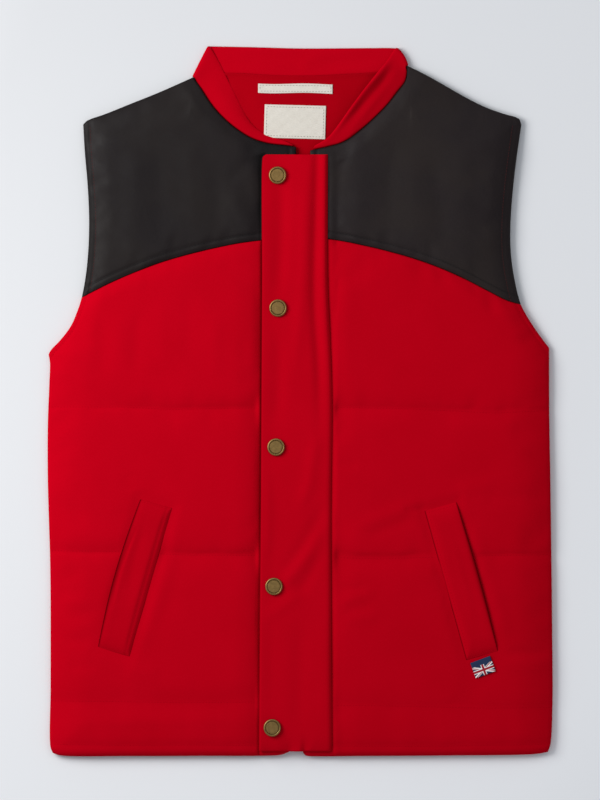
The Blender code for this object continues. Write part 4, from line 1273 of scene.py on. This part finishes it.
lower_back = settle(back_panel("lower_back", lower_back_plan(), True),
                    RED_CLOTH, "red_cloth", "back_body")
upper_back = settle(back_panel("upper_back", back_yoke_plan(), False),
                    WAXED_COTTON, "dark_cloth", "back_yoke")
print("back panels:", len(lower_back.data.polygons), len(upper_back.data.polygons), "faces")

# %% [markdown]
# ## Inside the neck
#
# The facing is a shallow half round of the red cloth, sewn in at the back neck. It shows through
# the neck opening, so its seam dips into a soft crease below the collar.

# %% Neck facing
FACING_FOLDS = [
    (-0.7, 4, [(-96, 346), (-60, 345), (-20, 343), (6, 338)]),
    (0.35, 5, [(10, 342), (40, 340), (88, 342)]),
    (-0.5, 9, [(62, 330), (50, 312), (34, 292)]), (0.4, 8, [(44, 336), (40, 320), (38, 300)]),
    (-0.5, 9, [(-62, 336), (-56, 315), (-44, 292)]),
    (0.35, 8, [(-52, 340), (-50, 326), (-47, 308)]),
    (-0.4, 6, [(-6, 276), (-4, 262), (-2, 246)]),
]
FACING_ENDS = 12.0              # how far below the neck seam its two ends reach


def facing_face(places):
    """Height of the facing's upper side."""
    return inner_height(places) - GAP + folds(places, FACING_FOLDS) \
        + uneven(places, 30.0, 0.25, 4.2)


def neck_facing():
    across = np.linspace(0.03, 0.97, 64)
    neck = along(LINES["back_neck"], across) + (0.0, 1.2)
    angle = np.pi * np.linspace(1, 0, len(across))
    hem = np.stack([FACING_HALF_WIDTH * np.cos(angle),
                    FACING_TOP_Y - FACING_DEPTH * np.sin(angle) ** 0.75], axis=1)
    hem[[0, -1], 1] -= FACING_ENDS
    down = np.array(filled([0.0, 0.012, 0.03, 0.06, 0.97, 0.985, 1.0], 0.022))[:, None, None]
    plan = neck + (hem - neck) * down
    places, shape = plan.reshape(-1, 2), plan.shape[:2]
    high = facing_face(places).reshape(shape)
    from_neck = border_distances(plan)[0]
    high += 1.1 * (1 - ease(from_neck / 4.5)) - 0.35 * bell(from_neck - 7.0, 3.0)
    low, high = rolled(plan, high - FACING_WALL, high, [(1.0, 0.5)] * 4)
    # Painted shade: darker beside the collar's left free edge, and towards the wearer's left
    shade = 0.16 * bell(distance_to("collar_free_left", places), 5.0) \
        + 0.09 * ease((places[:, 0] + 55.0) / 60.0)
    return cloth_piece("inside_neck_facing", with_height(plan, low), with_height(plan, high),
                       shade=shade.reshape(shape))


facing = settle(neck_facing(), SHADED_INSIDE_RED, "red_cloth", "neck_facing")
print("facing:", len(facing.data.polygons), "faces")

# %% [markdown]
# ## The placket
#
# A flap of doubled cloth is sewn to the wearer's left front and closes over the opening with five
# studs. It is free along its other long edge, which stands up a little between the studs and is
# held down at each. The cloth was pressed, so it keeps a long valley beside its seam, and the
# studs pull slanting folds across it.

# %% Placket
SNAPS = [(-24.1, 239.8), (-23.6, 99.2), (-25.7, -48.0), (-27.9, -195.5), (-29.7, -345.1)]
PLACKET_WALL, SEAM_WALL = 2.8, 1.8      # its thickness, and how much less it is at the seam
PLACKET_FOLDS = [
    (-2.40, 5.2, [(20.6, -60), (20.4, -10), (19.4, 40), (16.6, 80), (15.2, 120), (16.4, 190),
                  (18.4, 262), (19, 380)]),
    (-1.70, 8, [(-22, 262), (-20, 220), (-20, 170), (-23, 118), (-27, 92)]),
    (1.00, 7, [(6, 262), (5, 200), (3, 130), (-2, 70), (-8, 10)]),
    (-0.90, 7, [(-24, 84), (-22, 40), (-24, -10), (-26, -30)]),
    (0.90, 5, [(27, 330), (26, 190), (26, 110), (28, 20)]),
    (1.10, 7, [(19, -28), (13, -62), (8, -92), (-6, -122)]),
    (-1.20, 8, [(29, -100), (6, -150), (-20, -186)]),
    (1.40, 7.0, [(26, -128), (5, -164), (-26, -206)]),
    (-1.00, 7, [(24, -156), (9, -186), (-9, -210)]),
    (0.80, 7, [(6, -196), (-12, -212), (-42, -232)]),
    (-0.90, 10, [(2, -216), (0, -290), (-2, -372)]),
    (0.60, 8, [(24, -215), (26, -280), (24, -360)]),
    (0.55, 6, [(-36, -70), (-33, -120), (-36, -172)]),
]
# How far the free edge stands off the front: height on the garment, millimetres
FREE_EDGE_LIFT = [(-371, 0.6), (-345, 0.2), (-290, 1.1), (-235, 0.9), (-195, 0.25), (-140, 1.2),
                  (-90, 0.9), (-48, 0.25), (10, 1.0), (60, 0.8), (99, 0.25), (150, 1.2),
                  (205, 0.9), (240, 0.3), (262, 0.8)]


def placket_plan():
    """Level sections from the free edge to the seam."""
    outer, seam = LINES["placket_outer"], LINES["placket_seam"]
    bottom, top = outer[0, 1], outer[-1, 1]
    marks = {bottom + d for d in RIM} | {top - d for d in RIM}
    rows = []
    for y in filled(marks, 4.0):
        a, b = at_height(outer, y), at_height(seam, y)
        rows.append(a + (b - a) * stations(np.linalg.norm(b - a), 40)[:, None])
    return np.array(rows)


def placket_piece():
    plan = placket_plan()
    places, shape = plan.reshape(-1, 2), plan.shape[:2]
    x, y = places.T
    _, _, from_free, from_seam = (d.ravel() for d in border_distances(plan))
    low = front_top(places) + LIFT * ease(from_seam / 3.5) - 0.2 * (1 - ease(from_seam / 2.0))
    low += from_table(FREE_EDGE_LIFT, y) * (1 - ease(from_free / 15.0))
    high = low + PLACKET_WALL - SEAM_WALL * (1 - ease(from_seam / 4.0))
    high += folds(places, PLACKET_FOLDS) * ease(from_seam / 4.0) * ease(from_free / 8.0)
    for stud_x, stud_y in SNAPS:        # each stud presses a shallow dish
        high -= 0.8 * bell(np.hypot(x - stud_x, y - stud_y), 14.0)
    high += uneven(places, 34.0, 0.22, 6.6)
    low, high = rolled(plan, low.reshape(shape), high.reshape(shape),
                       [(1.6, 0.15), (1.6, 0.15), (1.5, 0.12), (1.5, 0.3)])
    # Painted shade along the free edge and along the seam
    shade = from_table(EDGE_SHADOW["right"], y) * bell(from_free, 0.55) + 0.5 * bell(from_seam, 0.6)
    return cloth_piece("placket_flap", with_height(plan, low), with_height(plan, high),
                       shade=shade.reshape(shape))


placket = settle(placket_piece(), RED_CLOTH, "red_cloth", "placket")
print("placket:", len(placket.data.polygons), "faces")

# %% [markdown]
# ## The collar
#
# One doubled band stands up from the neckline. Laid flat, it lies behind the neck, folds over at
# each side and comes forward over the fronts. Its middle surface is ruled from the seam to the free
# edge, row by row round the neck, and then given its thickness along the surface's normal, which
# keeps the cloth even where it folds over. On the wearer's right the free edge was pressed down on
# the facing. On the left it turned up, so it makes a ridge, a valley and a second softer ridge.

# %% Collar
COLLAR_WALL = 2.6
COLLAR_START = 0.022            # it starts this share of the neckline from the front edge
COLLAR_FLARE = 0.9              # below 1, it rises from the seam quickly and then levels out
COLLAR_SINK = 2.2               # it leaves the neck seam this far under the front's face
# At the seam and at the free edge: height of its middle behind the neck, and radius of its fold
COLLAR_BACK_Z, COLLAR_ROLL = (2.0, 1.65), {"right": (2.0, 1.1), "left": (2.0, 1.5)}
FOLD_BOW, FOLD_WAY = 1.7, (0.85, 0.53)          # the wearer's left fold bows out so far, that way
# Height of the free edge's middle along the collar, from the front (0) to the side of the neck (1)
COLLAR_FREE_Z = {"right": [(0, 7.9), (0.35, 6.85), (0.5, 6.45), (0.7, 5.25), (0.85, 3.4), (1, 3)],
                 "left": [(0, 8.3), (0.2, 8.9), (0.45, 9.4), (0.7, 8.6), (0.88, 6.4), (1, 4.9)]}
COLLAR_EDGE = {"right": 7.0, "behind": 2.0, "left": 1.8}       # how far in its free edge is rounded
FOLD_ANGLES = (80, 48, 16, -16, -48, -80)      # a row of the fold at each, in degrees
ROW_STEPS = 4                                  # grid rows for each row drawn here
COLLAR_CORNERS = {"right": (-97.0, 377.0), "left": (102.2, 374.9)}
COLLAR_FOLDS = [
    (2.3, 3.6, [(96, 366), (87, 352), (69, 331), (53, 309), (37, 287), (30, 278)]),
    (-2.4, 4.2, [(103, 361), (95, 350), (79.5, 329), (65, 312.5), (49, 293)]),
    (1.1, 5.5, [(92, 338), (77, 319.6), (64, 300.8), (51, 284.5), (38, 276)]),
    (-0.5, 5.0, [(-90, 356), (-74, 330), (-58, 306), (-40, 288)]),
    (0.5, 7.0, [(-98, 350), (-84, 322), (-66, 300), (-40, 281)]),
]
BEHIND_FOLDS = [
    (0.5, 5, [(-66, 366), (-30, 364), (0, 362)]), (-0.5, 6, [(-80, 354), (-40, 352), (-6, 350)]),
    (0.5, 6, [(8, 357), (45, 360), (84, 364)]), (-0.4, 5, [(2, 366), (24, 368), (60, 370)]),
    (-0.4, 5, [(4, 366), (6, 358), (5, 348)]), (-0.45, 4, [(30, 351), (56, 352), (84, 354)]),
]


def beside(line, distance):
    """A line moved sideways, to the left of the way it runs."""
    run = np.gradient(line, axis=0)
    run /= np.linalg.norm(run, axis=1, keepdims=True)
    return line + distance * np.stack([-run[:, 1], run[:, 0]], axis=1)


def inside_neck(line, side):
    """A neckline from the front up, moved a little into the neck."""
    return beside(line, 0.4 if side == "left" else -0.4)


def collar_over_front(side):
    """The collar's rows from the front to near the side of the neck, as (seam, free edge)."""
    shares = np.array([0, 0.02, 0.08, 0.14, 0.2, 0.28, 0.36, 0.46, 0.56, 0.67, 0.78, 0.88, 0.95])
    seam = along(inside_neck(LINES["neck_" + side][::-1], side),
                 COLLAR_START + (1 - COLLAR_START) * shares)
    free = along(LINES["collar_free_" + side], shares)
    turning = ease((shares - 0.6) / 0.4)
    seam_z = (front_top(seam) - COLLAR_SINK) * (1 - turning) + 5.9 * turning
    free_z = from_table(COLLAR_FREE_Z[side], shares)
    if side == "right":                 # this edge was pressed down on the facing
        pressed = ease(shares / 0.22) * (1 - ease((shares - 0.62) / 0.2))
        free_z += pressed * (facing_face(free) + 0.1 - free_z)
    return list(zip(np.column_stack([seam, seam_z]), np.column_stack([free, free_z])))


def collar_fold(side):
    """Where the collar rolls over at the side of the neck, from its upper layer to its lower."""
    corner, neck = np.array(COLLAR_CORNERS[side]), LINES["neck_" + side][0]
    line = corner - neck
    turn = -1.0 if side == "right" else 1.0
    out = turn * np.array([line[1], -line[0]]) / np.linalg.norm(line)
    ways = (out, np.array([turn, 0.0]))
    sides = list(zip((neck, corner), COLLAR_BACK_Z, COLLAR_ROLL[side], ways))
    return [tuple(np.append(tip + way * roll * (math.cos(angle) - 1.0),
                            low + roll + roll * math.sin(angle)) for tip, low, roll, way in sides)
            for angle in np.radians(FOLD_ANGLES)]


def collar_behind():
    """The collar's rows behind the neck, from the wearer's right to the left."""
    shares = np.linspace(0.04, 0.96, 12)
    seam = along(LINES["back_neck"], shares) + (0.0, GAP)
    free = along(LINES["collar_free_back"], shares)
    low_seam, low_free = (np.full(len(shares), z) for z in COLLAR_BACK_Z)
    return list(zip(np.column_stack([seam, low_seam]), np.column_stack([free, low_free])))


def collar_band():
    over, behind = collar_over_front("right"), collar_behind()
    rows = (over + collar_fold("right") + behind + collar_fold("left")[::-1]
            + collar_over_front("left")[::-1])
    first_behind = len(over) + len(FOLD_ANGLES)
    left_fold = first_behind + len(behind)
    left_front = left_fold + len(FOLD_ANGLES)
    up = np.array(filled([0.0, 0.015, 0.04, 0.08, 0.14, 0.86, 0.92, 0.96, 0.985, 1.0], 0.06))
    middle = []
    for k, (seam, free) in enumerate(rows):
        flat = seam[:2] + (free[:2] - seam[:2]) * up[:, None]
        if left_fold <= k < left_front:
            flat += FOLD_BOW * np.sin(np.pi * up)[:, None] * FOLD_WAY
        middle.append(np.column_stack([flat, seam[2] + (free[2] - seam[2]) * up ** COLLAR_FLARE]))
    middle = smooth_line(np.array(middle).reshape(len(rows), -1), ROW_STEPS)
    middle = middle.reshape(-1, len(up), 3)
    normal = np.cross(np.gradient(middle, axis=1), np.gradient(middle, axis=0))
    normal /= np.linalg.norm(normal, axis=2, keepdims=True)
    shape = middle.shape[:2]
    flat = middle[..., :2].reshape(-1, 2)
    turn = np.arange(shape[0])
    in_back = (turn >= (first_behind - 1) * ROW_STEPS) & (turn <= left_fold * ROW_STEPS)
    edge = np.full((len(turn), 1), COLLAR_EDGE["behind"])
    edge[:(len(over) + 3) * ROW_STEPS] = COLLAR_EDGE["right"]
    edge[(left_front - 1) * ROW_STEPS:] = COLLAR_EDGE["left"]
    relief = np.where(in_back[:, None], folds(flat, BEHIND_FOLDS).reshape(shape),
                      folds(flat, COLLAR_FOLDS).reshape(shape) * np.sign(normal[..., 2]))
    relief += uneven(flat, 28.0, 0.25, 2.4).reshape(shape)
    inner = ease(np.minimum(turn, turn[::-1]) / 6.0)[:, None] * ease(up / 0.1)[None, :]
    middle = middle + normal * (relief * inner)[..., None]
    from_seam, from_free = border_distances(middle)[2:]
    thin = np.minimum(0.6 + 0.4 * ease(from_seam / 2.0),
                      0.12 + 0.88 * np.sqrt(1 - (1 - np.clip(from_free / edge, 0, 1)) ** 2))
    offset = normal * (COLLAR_WALL / 2 * thin)[..., None]
    length = travelled(middle.mean(axis=1))
    pattern = np.stack([np.broadcast_to(length[:, None], shape), from_seam], axis=-1)
    on_left = ease((turn - (left_front - 1) * ROW_STEPS) / 6.0)[:, None]
    # Painted shade: a dark line along the neck seam, and darker over the band on the wearer's left
    shade = 0.6 * bell(from_seam, 0.8) + 0.2 * on_left * ease(from_free / 5.0)
    return cloth_piece("collar_band", middle - offset, middle + offset, pattern, shade)


collar = settle(collar_band(), RED_CLOTH, "red_cloth", "collar")
print("collar:", len(collar.data.polygons), "faces")

# %% [markdown]
# ## Pocket welts
#
# A welt is a folded strip that covers a slanted slit. It is sewn to the front along its inner edge
# and across both ends, and open along its outer edge, which bows away a little; the dark slit there
# is painted shade. A second row of stitching runs beside the inner seam.

# %% Welts
WELT_WALL, WELT_RIM = 2.6, 0.4          # its thickness, and what is left of it where it is sewn
WELT_BOW = {"right": 4.3, "left": 2.0}         # how far its open edge bows out at its middle
WELT_LIFT = {"right": 0.6, "left": 0.7}        # and how far it stands off the front there
WELT_FILL = {"right": 10.0, "left": 12.0}      # distance over which it swells from its sewn edges
WELT_STITCH = {"right": 6.2, "left": 3.6}      # how far in from its inner edge it is topstitched
WELT_GROOVE = {"right": 0.45, "left": 0.25}    # and how deep that stitching lies
# Painted shade at its open edge, its inner edge and its ends
WELT_SHADE = {"right": (0.88, 0.28, 0.14), "left": (0.80, 0.90, 0.0)}
SLIT_WIDTH = {"right": (1.0, 0.9), "left": (0.6, 1.9)}     # at the ends, and how much wider between
WELT_EXTRA_SHADE = {"right": (0.08, 0.14), "left": (0.0, 0.0)}    # painted shade all over, and at the stitching
WELT_FOLDS = {
    "right": [(-0.45, 5, [(4, 60), (6, 20), (2, -20)]), (0.4, 5, [(-6, 50), (-7, 0), (-5, -50)]),
              (-0.9, 1.5, [(12.5, 58), (16.8, 16), (17.4, -10), (14.6, -42)])],
    "left": [(0.35, 6, [(2, 60), (3, 0), (2, -55)]), (-0.3, 5, [(-8, 30), (-7, -10), (-8, -50)])],
}


def on_pocket(side, across, up):
    """The place on the table of a point given by its distances across and up a pocket."""
    middle, outwards, upwards = pocket_axes(side)
    return middle + across[..., None] * outwards + up[..., None] * upwards


def welt_piece(side):
    across = stations(WELT_WIDTH, 36, (0.0, 0.3, 0.8, 1.5, 2.3, 3.3, 4.4, 6.0),
                      (0.0, 0.3, 0.7, 1.2, 2.0, 3.2, 5.0)) * WELT_WIDTH
    up = stations(WELT_LENGTH, 60) * WELT_LENGTH - WELT_LENGTH / 2
    u, v = np.meshgrid(across, up)
    middle = np.cos(v / WELT_LENGTH * math.pi)
    wide = u * (1 + WELT_BOW[side] / WELT_WIDTH * middle) - WELT_WIDTH / 2
    plan = on_pocket(side, wide, v)
    shape = plan.shape[:2]
    from_outer, ends = WELT_WIDTH - u, WELT_LENGTH / 2 - np.abs(v)
    sewn = np.minimum(u, 0.6 * ends)
    bed = front_top(plan.reshape(-1, 2)).reshape(shape) + LIFT - 0.8 * (1 - ease(sewn / 4.0))
    low = bed + WELT_LIFT[side] * ease((u - WELT_WIDTH / 2 - 4.0) / 12.0) * middle
    pattern = np.stack([wide, v], axis=2)
    own = pattern.reshape(-1, 2)
    full = swell(sewn, WELT_FILL[side]) * (0.62 + 0.38 * swell(from_outer, 9.0))
    high = low + WELT_RIM + (WELT_WALL - WELT_RIM) * full \
        + (folds(own, WELT_FOLDS[side]) + uneven(own, 20.0, 0.2, 7.7)).reshape(shape) \
        - WELT_GROOVE[side] * bell(u - WELT_STITCH[side], 1.4) * ease(ends / 18.0)
    low, high = rolled(plan, low, np.maximum(high, low + 0.3),
                       [(1.5, 0.2), (1.5, 0.2), (1.2, 0.2), (1.3, 0.2)])
    outer, inner, end = WELT_SHADE[side]
    narrow, wider = SLIT_WIDTH[side]
    all_over, at_stitch = WELT_EXTRA_SHADE[side]
    # Painted shade: the dark slit at the open edge, lines at the inner edge and ends, and a little
    # all over
    shade = outer * bell(from_outer, narrow + wider * middle) + inner * bell(u, 0.8) \
        + end * bell(ends, 1.0) + all_over + at_stitch * bell(u - WELT_STITCH[side], 1.0)
    return cloth_piece("pocket_welt_" + side, with_height(plan, low), with_height(plan, high),
                       pattern, shade)


welts = {side: settle(welt_piece(side), RED_CLOTH, "red_cloth", "welt_" + side)
         for side in ("right", "left")}
print("welts:", [len(w.data.polygons) for w in welts.values()], "faces")

# %% [markdown]
# ## Labels and the pocket's tab
#
# Two woven labels are sewn flat to the facing, a wide strip above a larger one, and both stay
# blank. The tab at the lower end of the left pocket is a short piece of navy tape folded double,
# with a woven flag on its lower part.

# %% Labels and tab
# Middle on the table, width, height and turn in degrees
SQUARE = ((-5.6, 296.8), 65.0, 35.5, -1.5)
STRIP = ((-5.2, 332.2), 79.0, 10.0, -0.6)
TAB = (FLAG_PLACE, TAB_WIDE, TAB_HIGH, FLAG_TURN)
LABEL_WALL, TAB_WALL = 1.0, 1.4
STRIP_WAVE = 0.5                # how far the long strip wanders from straight


def tape_piece(name, middle, width, height, turn, wall, bed, wave=0.0):
    """A flat piece of tape on a bed, turned by some degrees, with its own flat pattern."""
    edge = (0.0, 0.25, 0.7)
    u = (stations(width, round(width / 1.6), edge, edge) - 0.5) * width
    v = (stations(height, round(height / 1.6) + 4, edge, edge) - 0.5) * height
    v, u = np.meshgrid(v, u, indexing="ij")
    c, s = math.cos(math.radians(turn)), math.sin(math.radians(turn))
    bent = v + wave * np.sin(u / width * 7.0 + 0.6)
    plan = np.stack([middle[0] + u * c - bent * s, middle[1] + u * s + bent * c], axis=2)
    low = bed(plan.reshape(-1, 2)).reshape(u.shape)
    high = low + wall + 0.12 * np.sin(u / 2.3) * np.sin(v / 1.9 + 1.0)
    low, high = rolled(plan, low, high, [(0.6, 0.5)] * 4)
    return cloth_piece(name, with_height(plan, low), with_height(plan, high),
                       np.stack([u, v], axis=2))


def on_facing(places):
    return facing_face(places) + 0.15


def on_front(places):
    return front_top(places) + LIFT - 0.2


label_square = settle(tape_piece("label_square", *SQUARE, LABEL_WALL, on_facing),
                      CREAM_TAPE, "cream_tape", "neck_label")
label_strip = settle(tape_piece("label_strip", *STRIP, LABEL_WALL, on_facing, STRIP_WAVE),
                     CREAM_TAPE, "cream_tape", "strip_label")
flag_tab = settle(tape_piece("flag_tab", *TAB, TAB_WALL, on_front),
                  FLAG_TAPE, "navy_tape", "flag_label")
print("tapes:", [len(p.data.polygons) for p in (label_square, label_strip, flag_tab)], "faces")

# %% [markdown]
# ## Press studs
#
# A stud's cap is pressed from thin brass: a rounded rim, a sunken ring with a row of pellets, a
# fine bead and a flat middle. It could be turned from a profile, but a maker stamps it in steps, so
# here a short cylinder gets ring after ring inset into its top. One cap is made and copied.

# %% Stud cap
CAP_RADIUS, CAP_SKIRT = 9.25, 1.0
# Each ring: how far in from the last one, and how far up
CAP_RINGS = [(0.20, 0.45), (0.30, 0.34), (0.38, 0.18), (0.36, 0.04), (0.30, -0.08),
             (0.20, -0.26), (0.16, -0.20), (0.62, 0.0), (0.14, 0.20), (0.22, 0.20),
             (0.50, 0.03), (1.40, -0.04), (2.20, -0.03), (1.60, 0.0)]
PELLETS, PELLET_SIZE, PELLET_RADIUS = 34, 0.40, 7.04       # how many, how big, how far out
PELLET_GROOVE = (6.7, 7.4)


def only_selected(piece):
    bpy.ops.object.select_all(action="DESELECT")
    piece.select_set(True)
    bpy.context.view_layer.objects.active = piece


def stud_cap(height):
    """A cap at the origin, its top at z = 0, made by insetting rings into a short cylinder."""
    wall = height + CAP_SKIRT - sum(up for _, up in CAP_RINGS)
    bpy.ops.object.select_all(action="DESELECT")
    bpy.ops.mesh.primitive_cylinder_add(vertices=80, radius=CAP_RADIUS * MM, depth=wall * MM,
                                        location=(0, 0, 0))
    cap = bpy.context.object
    bpy.ops.object.mode_set(mode="EDIT")
    bpy.ops.mesh.select_mode(type="FACE")
    bpy.ops.mesh.select_all(action="DESELECT")
    bpy.ops.object.mode_set(mode="OBJECT")
    for face in cap.data.polygons:
        face.select = face.normal.z > 0.9
    bpy.ops.object.mode_set(mode="EDIT")
    for inward, upward in CAP_RINGS:
        bpy.ops.mesh.inset(thickness=inward * MM, depth=upward * MM)
    bpy.ops.mesh.poke()
    bpy.ops.object.mode_set(mode="OBJECT")
    top = max(v.co.z for v in cap.data.vertices)
    near, far = PELLET_GROOVE
    sunk = min(v.co.z for v in cap.data.vertices if near < v.co.xy.length / MM < far)
    pellets = []
    for k in range(PELLETS):
        turn = 2 * math.pi * k / PELLETS
        bpy.ops.mesh.primitive_uv_sphere_add(
            segments=8, ring_count=5, radius=PELLET_SIZE * MM,
            location=(PELLET_RADIUS * MM * math.cos(turn), PELLET_RADIUS * MM * math.sin(turn),
                      sunk))
        pellets.append(bpy.context.object)
    only_selected(cap)
    for pellet in pellets:
        pellet.select_set(True)
    bpy.ops.object.join()
    bpy.ops.object.transform_apply(location=True, rotation=True, scale=True)
    cap.data.transform(Matrix.Translation((0, 0, -top)))
    bpy.ops.object.shade_smooth_by_angle(angle=math.radians(38))
    hollow_there = cap.data.attributes.new("hollow", "FLOAT", "POINT")
    radius = np.array([v.co.xy.length for v in cap.data.vertices]) / MM
    depth = -np.array([v.co.z for v in cap.data.vertices]) / MM
    inside, outside = ease((depth - 0.25) / 0.25), ease((depth - 1.0) / 0.5)
    hollow_there.data.foreach_set("value", np.where(radius < 8.0, inside, outside))
    return cap


low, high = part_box("snap_1")
cap = stud_cap((high[2] - low[2]) / MM)
for k in range(1, len(SNAPS) + 1):
    low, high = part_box("snap_%d" % k)
    stud = cap.copy()
    stud.data, stud.name = cap.data.copy(), "stud_%d" % k
    middle = ((low[0] + high[0]) / 2, (low[1] + high[1]) / 2, high[2])
    stud.data.transform(Matrix.Translation(middle) @ Matrix.Rotation(0.7 * k, 4, "Z"))
    bpy.context.scene.collection.objects.link(stud)
    settle(stud, OLD_BRASS, "old_brass", "snap_%d" % k)
bpy.data.objects.remove(cap)

# %% [markdown]
# ## Stitches
#
# Every seam that shows is a row of short stitches, each a tiny grain of thread that dips into the
# cloth at both ends. One stitch is modelled, then laid along its line at an even pitch, at the
# height and slope of the cloth below it. A row is one piece, since no one picks out a stitch.

# %% Rows of stitches
STITCH_PITCH, SUNK = 3.2, 0.14         # spacing, and how deep red stitches sink into the nap
GRAIN_SIZE = (1.25, 0.3, 0.26)         # half its length, width and height
bpy.ops.object.select_all(action="DESELECT")
bpy.ops.mesh.primitive_uv_sphere_add(segments=6, ring_count=4, radius=1.0)
bpy.ops.object.mode_set(mode="EDIT")
bpy.ops.mesh.select_all(action="SELECT")
bpy.ops.transform.resize(value=GRAIN_SIZE)
bpy.ops.object.mode_set(mode="OBJECT")
grain = bpy.context.object
GRAIN_POINTS = np.array([v.co for v in grain.data.vertices])
GRAIN_FACES = [list(face.vertices) for face in grain.data.polygons]
bpy.data.objects.remove(grain)


def surface(piece):
    """What a needle meets when it comes straight down on a piece."""
    mesh = piece.data
    return BVHTree.FromPolygons([v.co for v in mesh.vertices], [f.vertices for f in mesh.polygons])


def sewn_rows(name, rows, material, slot, sunk=0.0, pitch=STITCH_PITCH):
    """Rows of stitches as one piece. Each row is (line, surface below it, test of a place)."""
    points, faces = [], []
    for line, below, wanted in rows:
        shares = np.arange(0.6, travelled(line)[-1] / pitch - 0.4) * pitch / travelled(line)[-1]
        for x, y in along(line, shares):
            if wanted is not None and not wanted(x, y):
                continue
            hit = below.ray_cast(Vector((x * MM, y * MM, 0.1)), Vector((0, 0, -1)))
            if hit[0] is None or hit[1].z < 0.4:
                continue
            at = int(np.abs(line - (x, y)).sum(1).argmin())
            run = line[min(len(line) - 1, at + 1)] - line[max(0, at - 1)]
            run = np.array([run[0], run[1], 0.0]) / np.linalg.norm(run)
            up = np.array(hit[1])
            run -= up * (run @ up)
            run /= np.linalg.norm(run)
            frame3 = np.stack([run, np.cross(up, run), up])
            faces += [[v + len(points) * len(GRAIN_POINTS) for v in face] for face in GRAIN_FACES]
            points.append(GRAIN_POINTS @ frame3 * MM + np.array(hit[0]) - up * sunk * MM)
    mesh = bpy.data.meshes.new(name)
    mesh.from_pydata(np.vstack(points).tolist(), [], faces)
    mesh.shade_smooth()
    print(name, len(points), "stitches")
    return settle(placed(name, mesh), material, slot)


def off_pockets(side):
    """A test that keeps stitches off the placket and the pocket."""
    def test(x, y):
        place = np.array([(x, y)])
        return beside_placket(place, 42.0, 1.0)[0] > 0.5 and under_pocket(place, side, 2.0)[0] < 0.5
    return test


face_of = {name: surface(bpy.data.objects[name]) for name in
           ("lower_front_right", "lower_front_left", "shoulder_yoke_right", "shoulder_yoke_left",
            "pocket_welt_right", "pocket_welt_left", "label_square", "label_strip")}
for side, turn in (("right", 1.0), ("left", -1.0)):
    body, yoke = face_of["lower_front_" + side], face_of["shoulder_yoke_" + side]
    away = off_pockets(side)
    quilt_rows = []
    for wander, _ in QUILTING[side]:
        x = np.linspace(wander[0][0], wander[-1][0], 140)
        quilt_rows.append((np.stack([x, from_table(wander, x)], axis=1), body, away))
    sewn_rows("quilt_stitches_" + side, quilt_rows, RED_THREAD, "red_cloth", SUNK)
    hem, armhole = np.array(HEM_LINE[side], float), LINES["armhole_" + side]
    sewn_rows("hem_stitches_" + side, [(hem, body, away),
                                       (beside(armhole, -RED_ARMHOLE_STITCH * turn), body, away)],
              RED_THREAD, "red_cloth", SUNK)
    sewn_rows("yoke_stitches_" + side,
              [(beside(LINES["yoke_" + side], YOKE_STITCH * turn), yoke, away)],
              BLACK_THREAD, "dark_cloth")
    sewn_rows("armhole_stitches_" + side,
              [(beside(armhole, -ARMHOLE_STITCH[side] * turn), yoke, away)],
              RUST_THREAD, "dark_cloth")
    welt = face_of["pocket_welt_" + side]
    v, u = np.linspace(-78, 78, 60), np.linspace(-15, 15, 20)
    inner = np.full(len(v), WELT_STITCH[side] - WELT_WIDTH / 2)
    ends = [np.full(len(u), end * (WELT_LENGTH / 2 - 2.6)) for end in (-1, 1)]
    welt_rows = [(on_pocket(side, inner, v), welt, None)]
    welt_rows += [(on_pocket(side, u, end), welt, None) for end in ends]
    sewn_rows("welt_stitches_" + side, welt_rows, RED_THREAD, "red_cloth", 0.16)


def around(middle, width, height, turn, inset):
    """A closed rectangle inside a label's edge."""
    w, h = width / 2 - inset, height / 2 - inset
    corners = np.array([(-w, -h), (w, -h), (w, h), (-w, h), (-w, -h)])
    rounds = along(corners, np.linspace(0, 1, 160))
    c, s = math.cos(math.radians(turn)), math.sin(math.radians(turn))
    return np.array(middle) + rounds @ np.array([(c, s), (-s, c)])


sewn_rows("label_stitches", [
    (around(*SQUARE, 2.4), face_of["label_square"], None),
    (around(*STRIP, 1.9), face_of["label_strip"], None)],
    GREY_THREAD, "cream_tape")

# %% [markdown]
# ## The sheets' cut sizes
#
# This script gives no sheet its flat size of what shows, which is what a cutter would measure on it.
# A turned edge or a doubled layer adds to the real cut, but it lies underneath.

print("sheets: no cut sizes given")

# %% [markdown]
# ## Sizes, and the end
#
# The dressed garment may stand a little proud of its solids, as cloth does, but not by much.

# %% Measure the dressed size and finish
low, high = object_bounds()
print("dressed size in mm:", [round(v / MM, 1) for v in high - low])
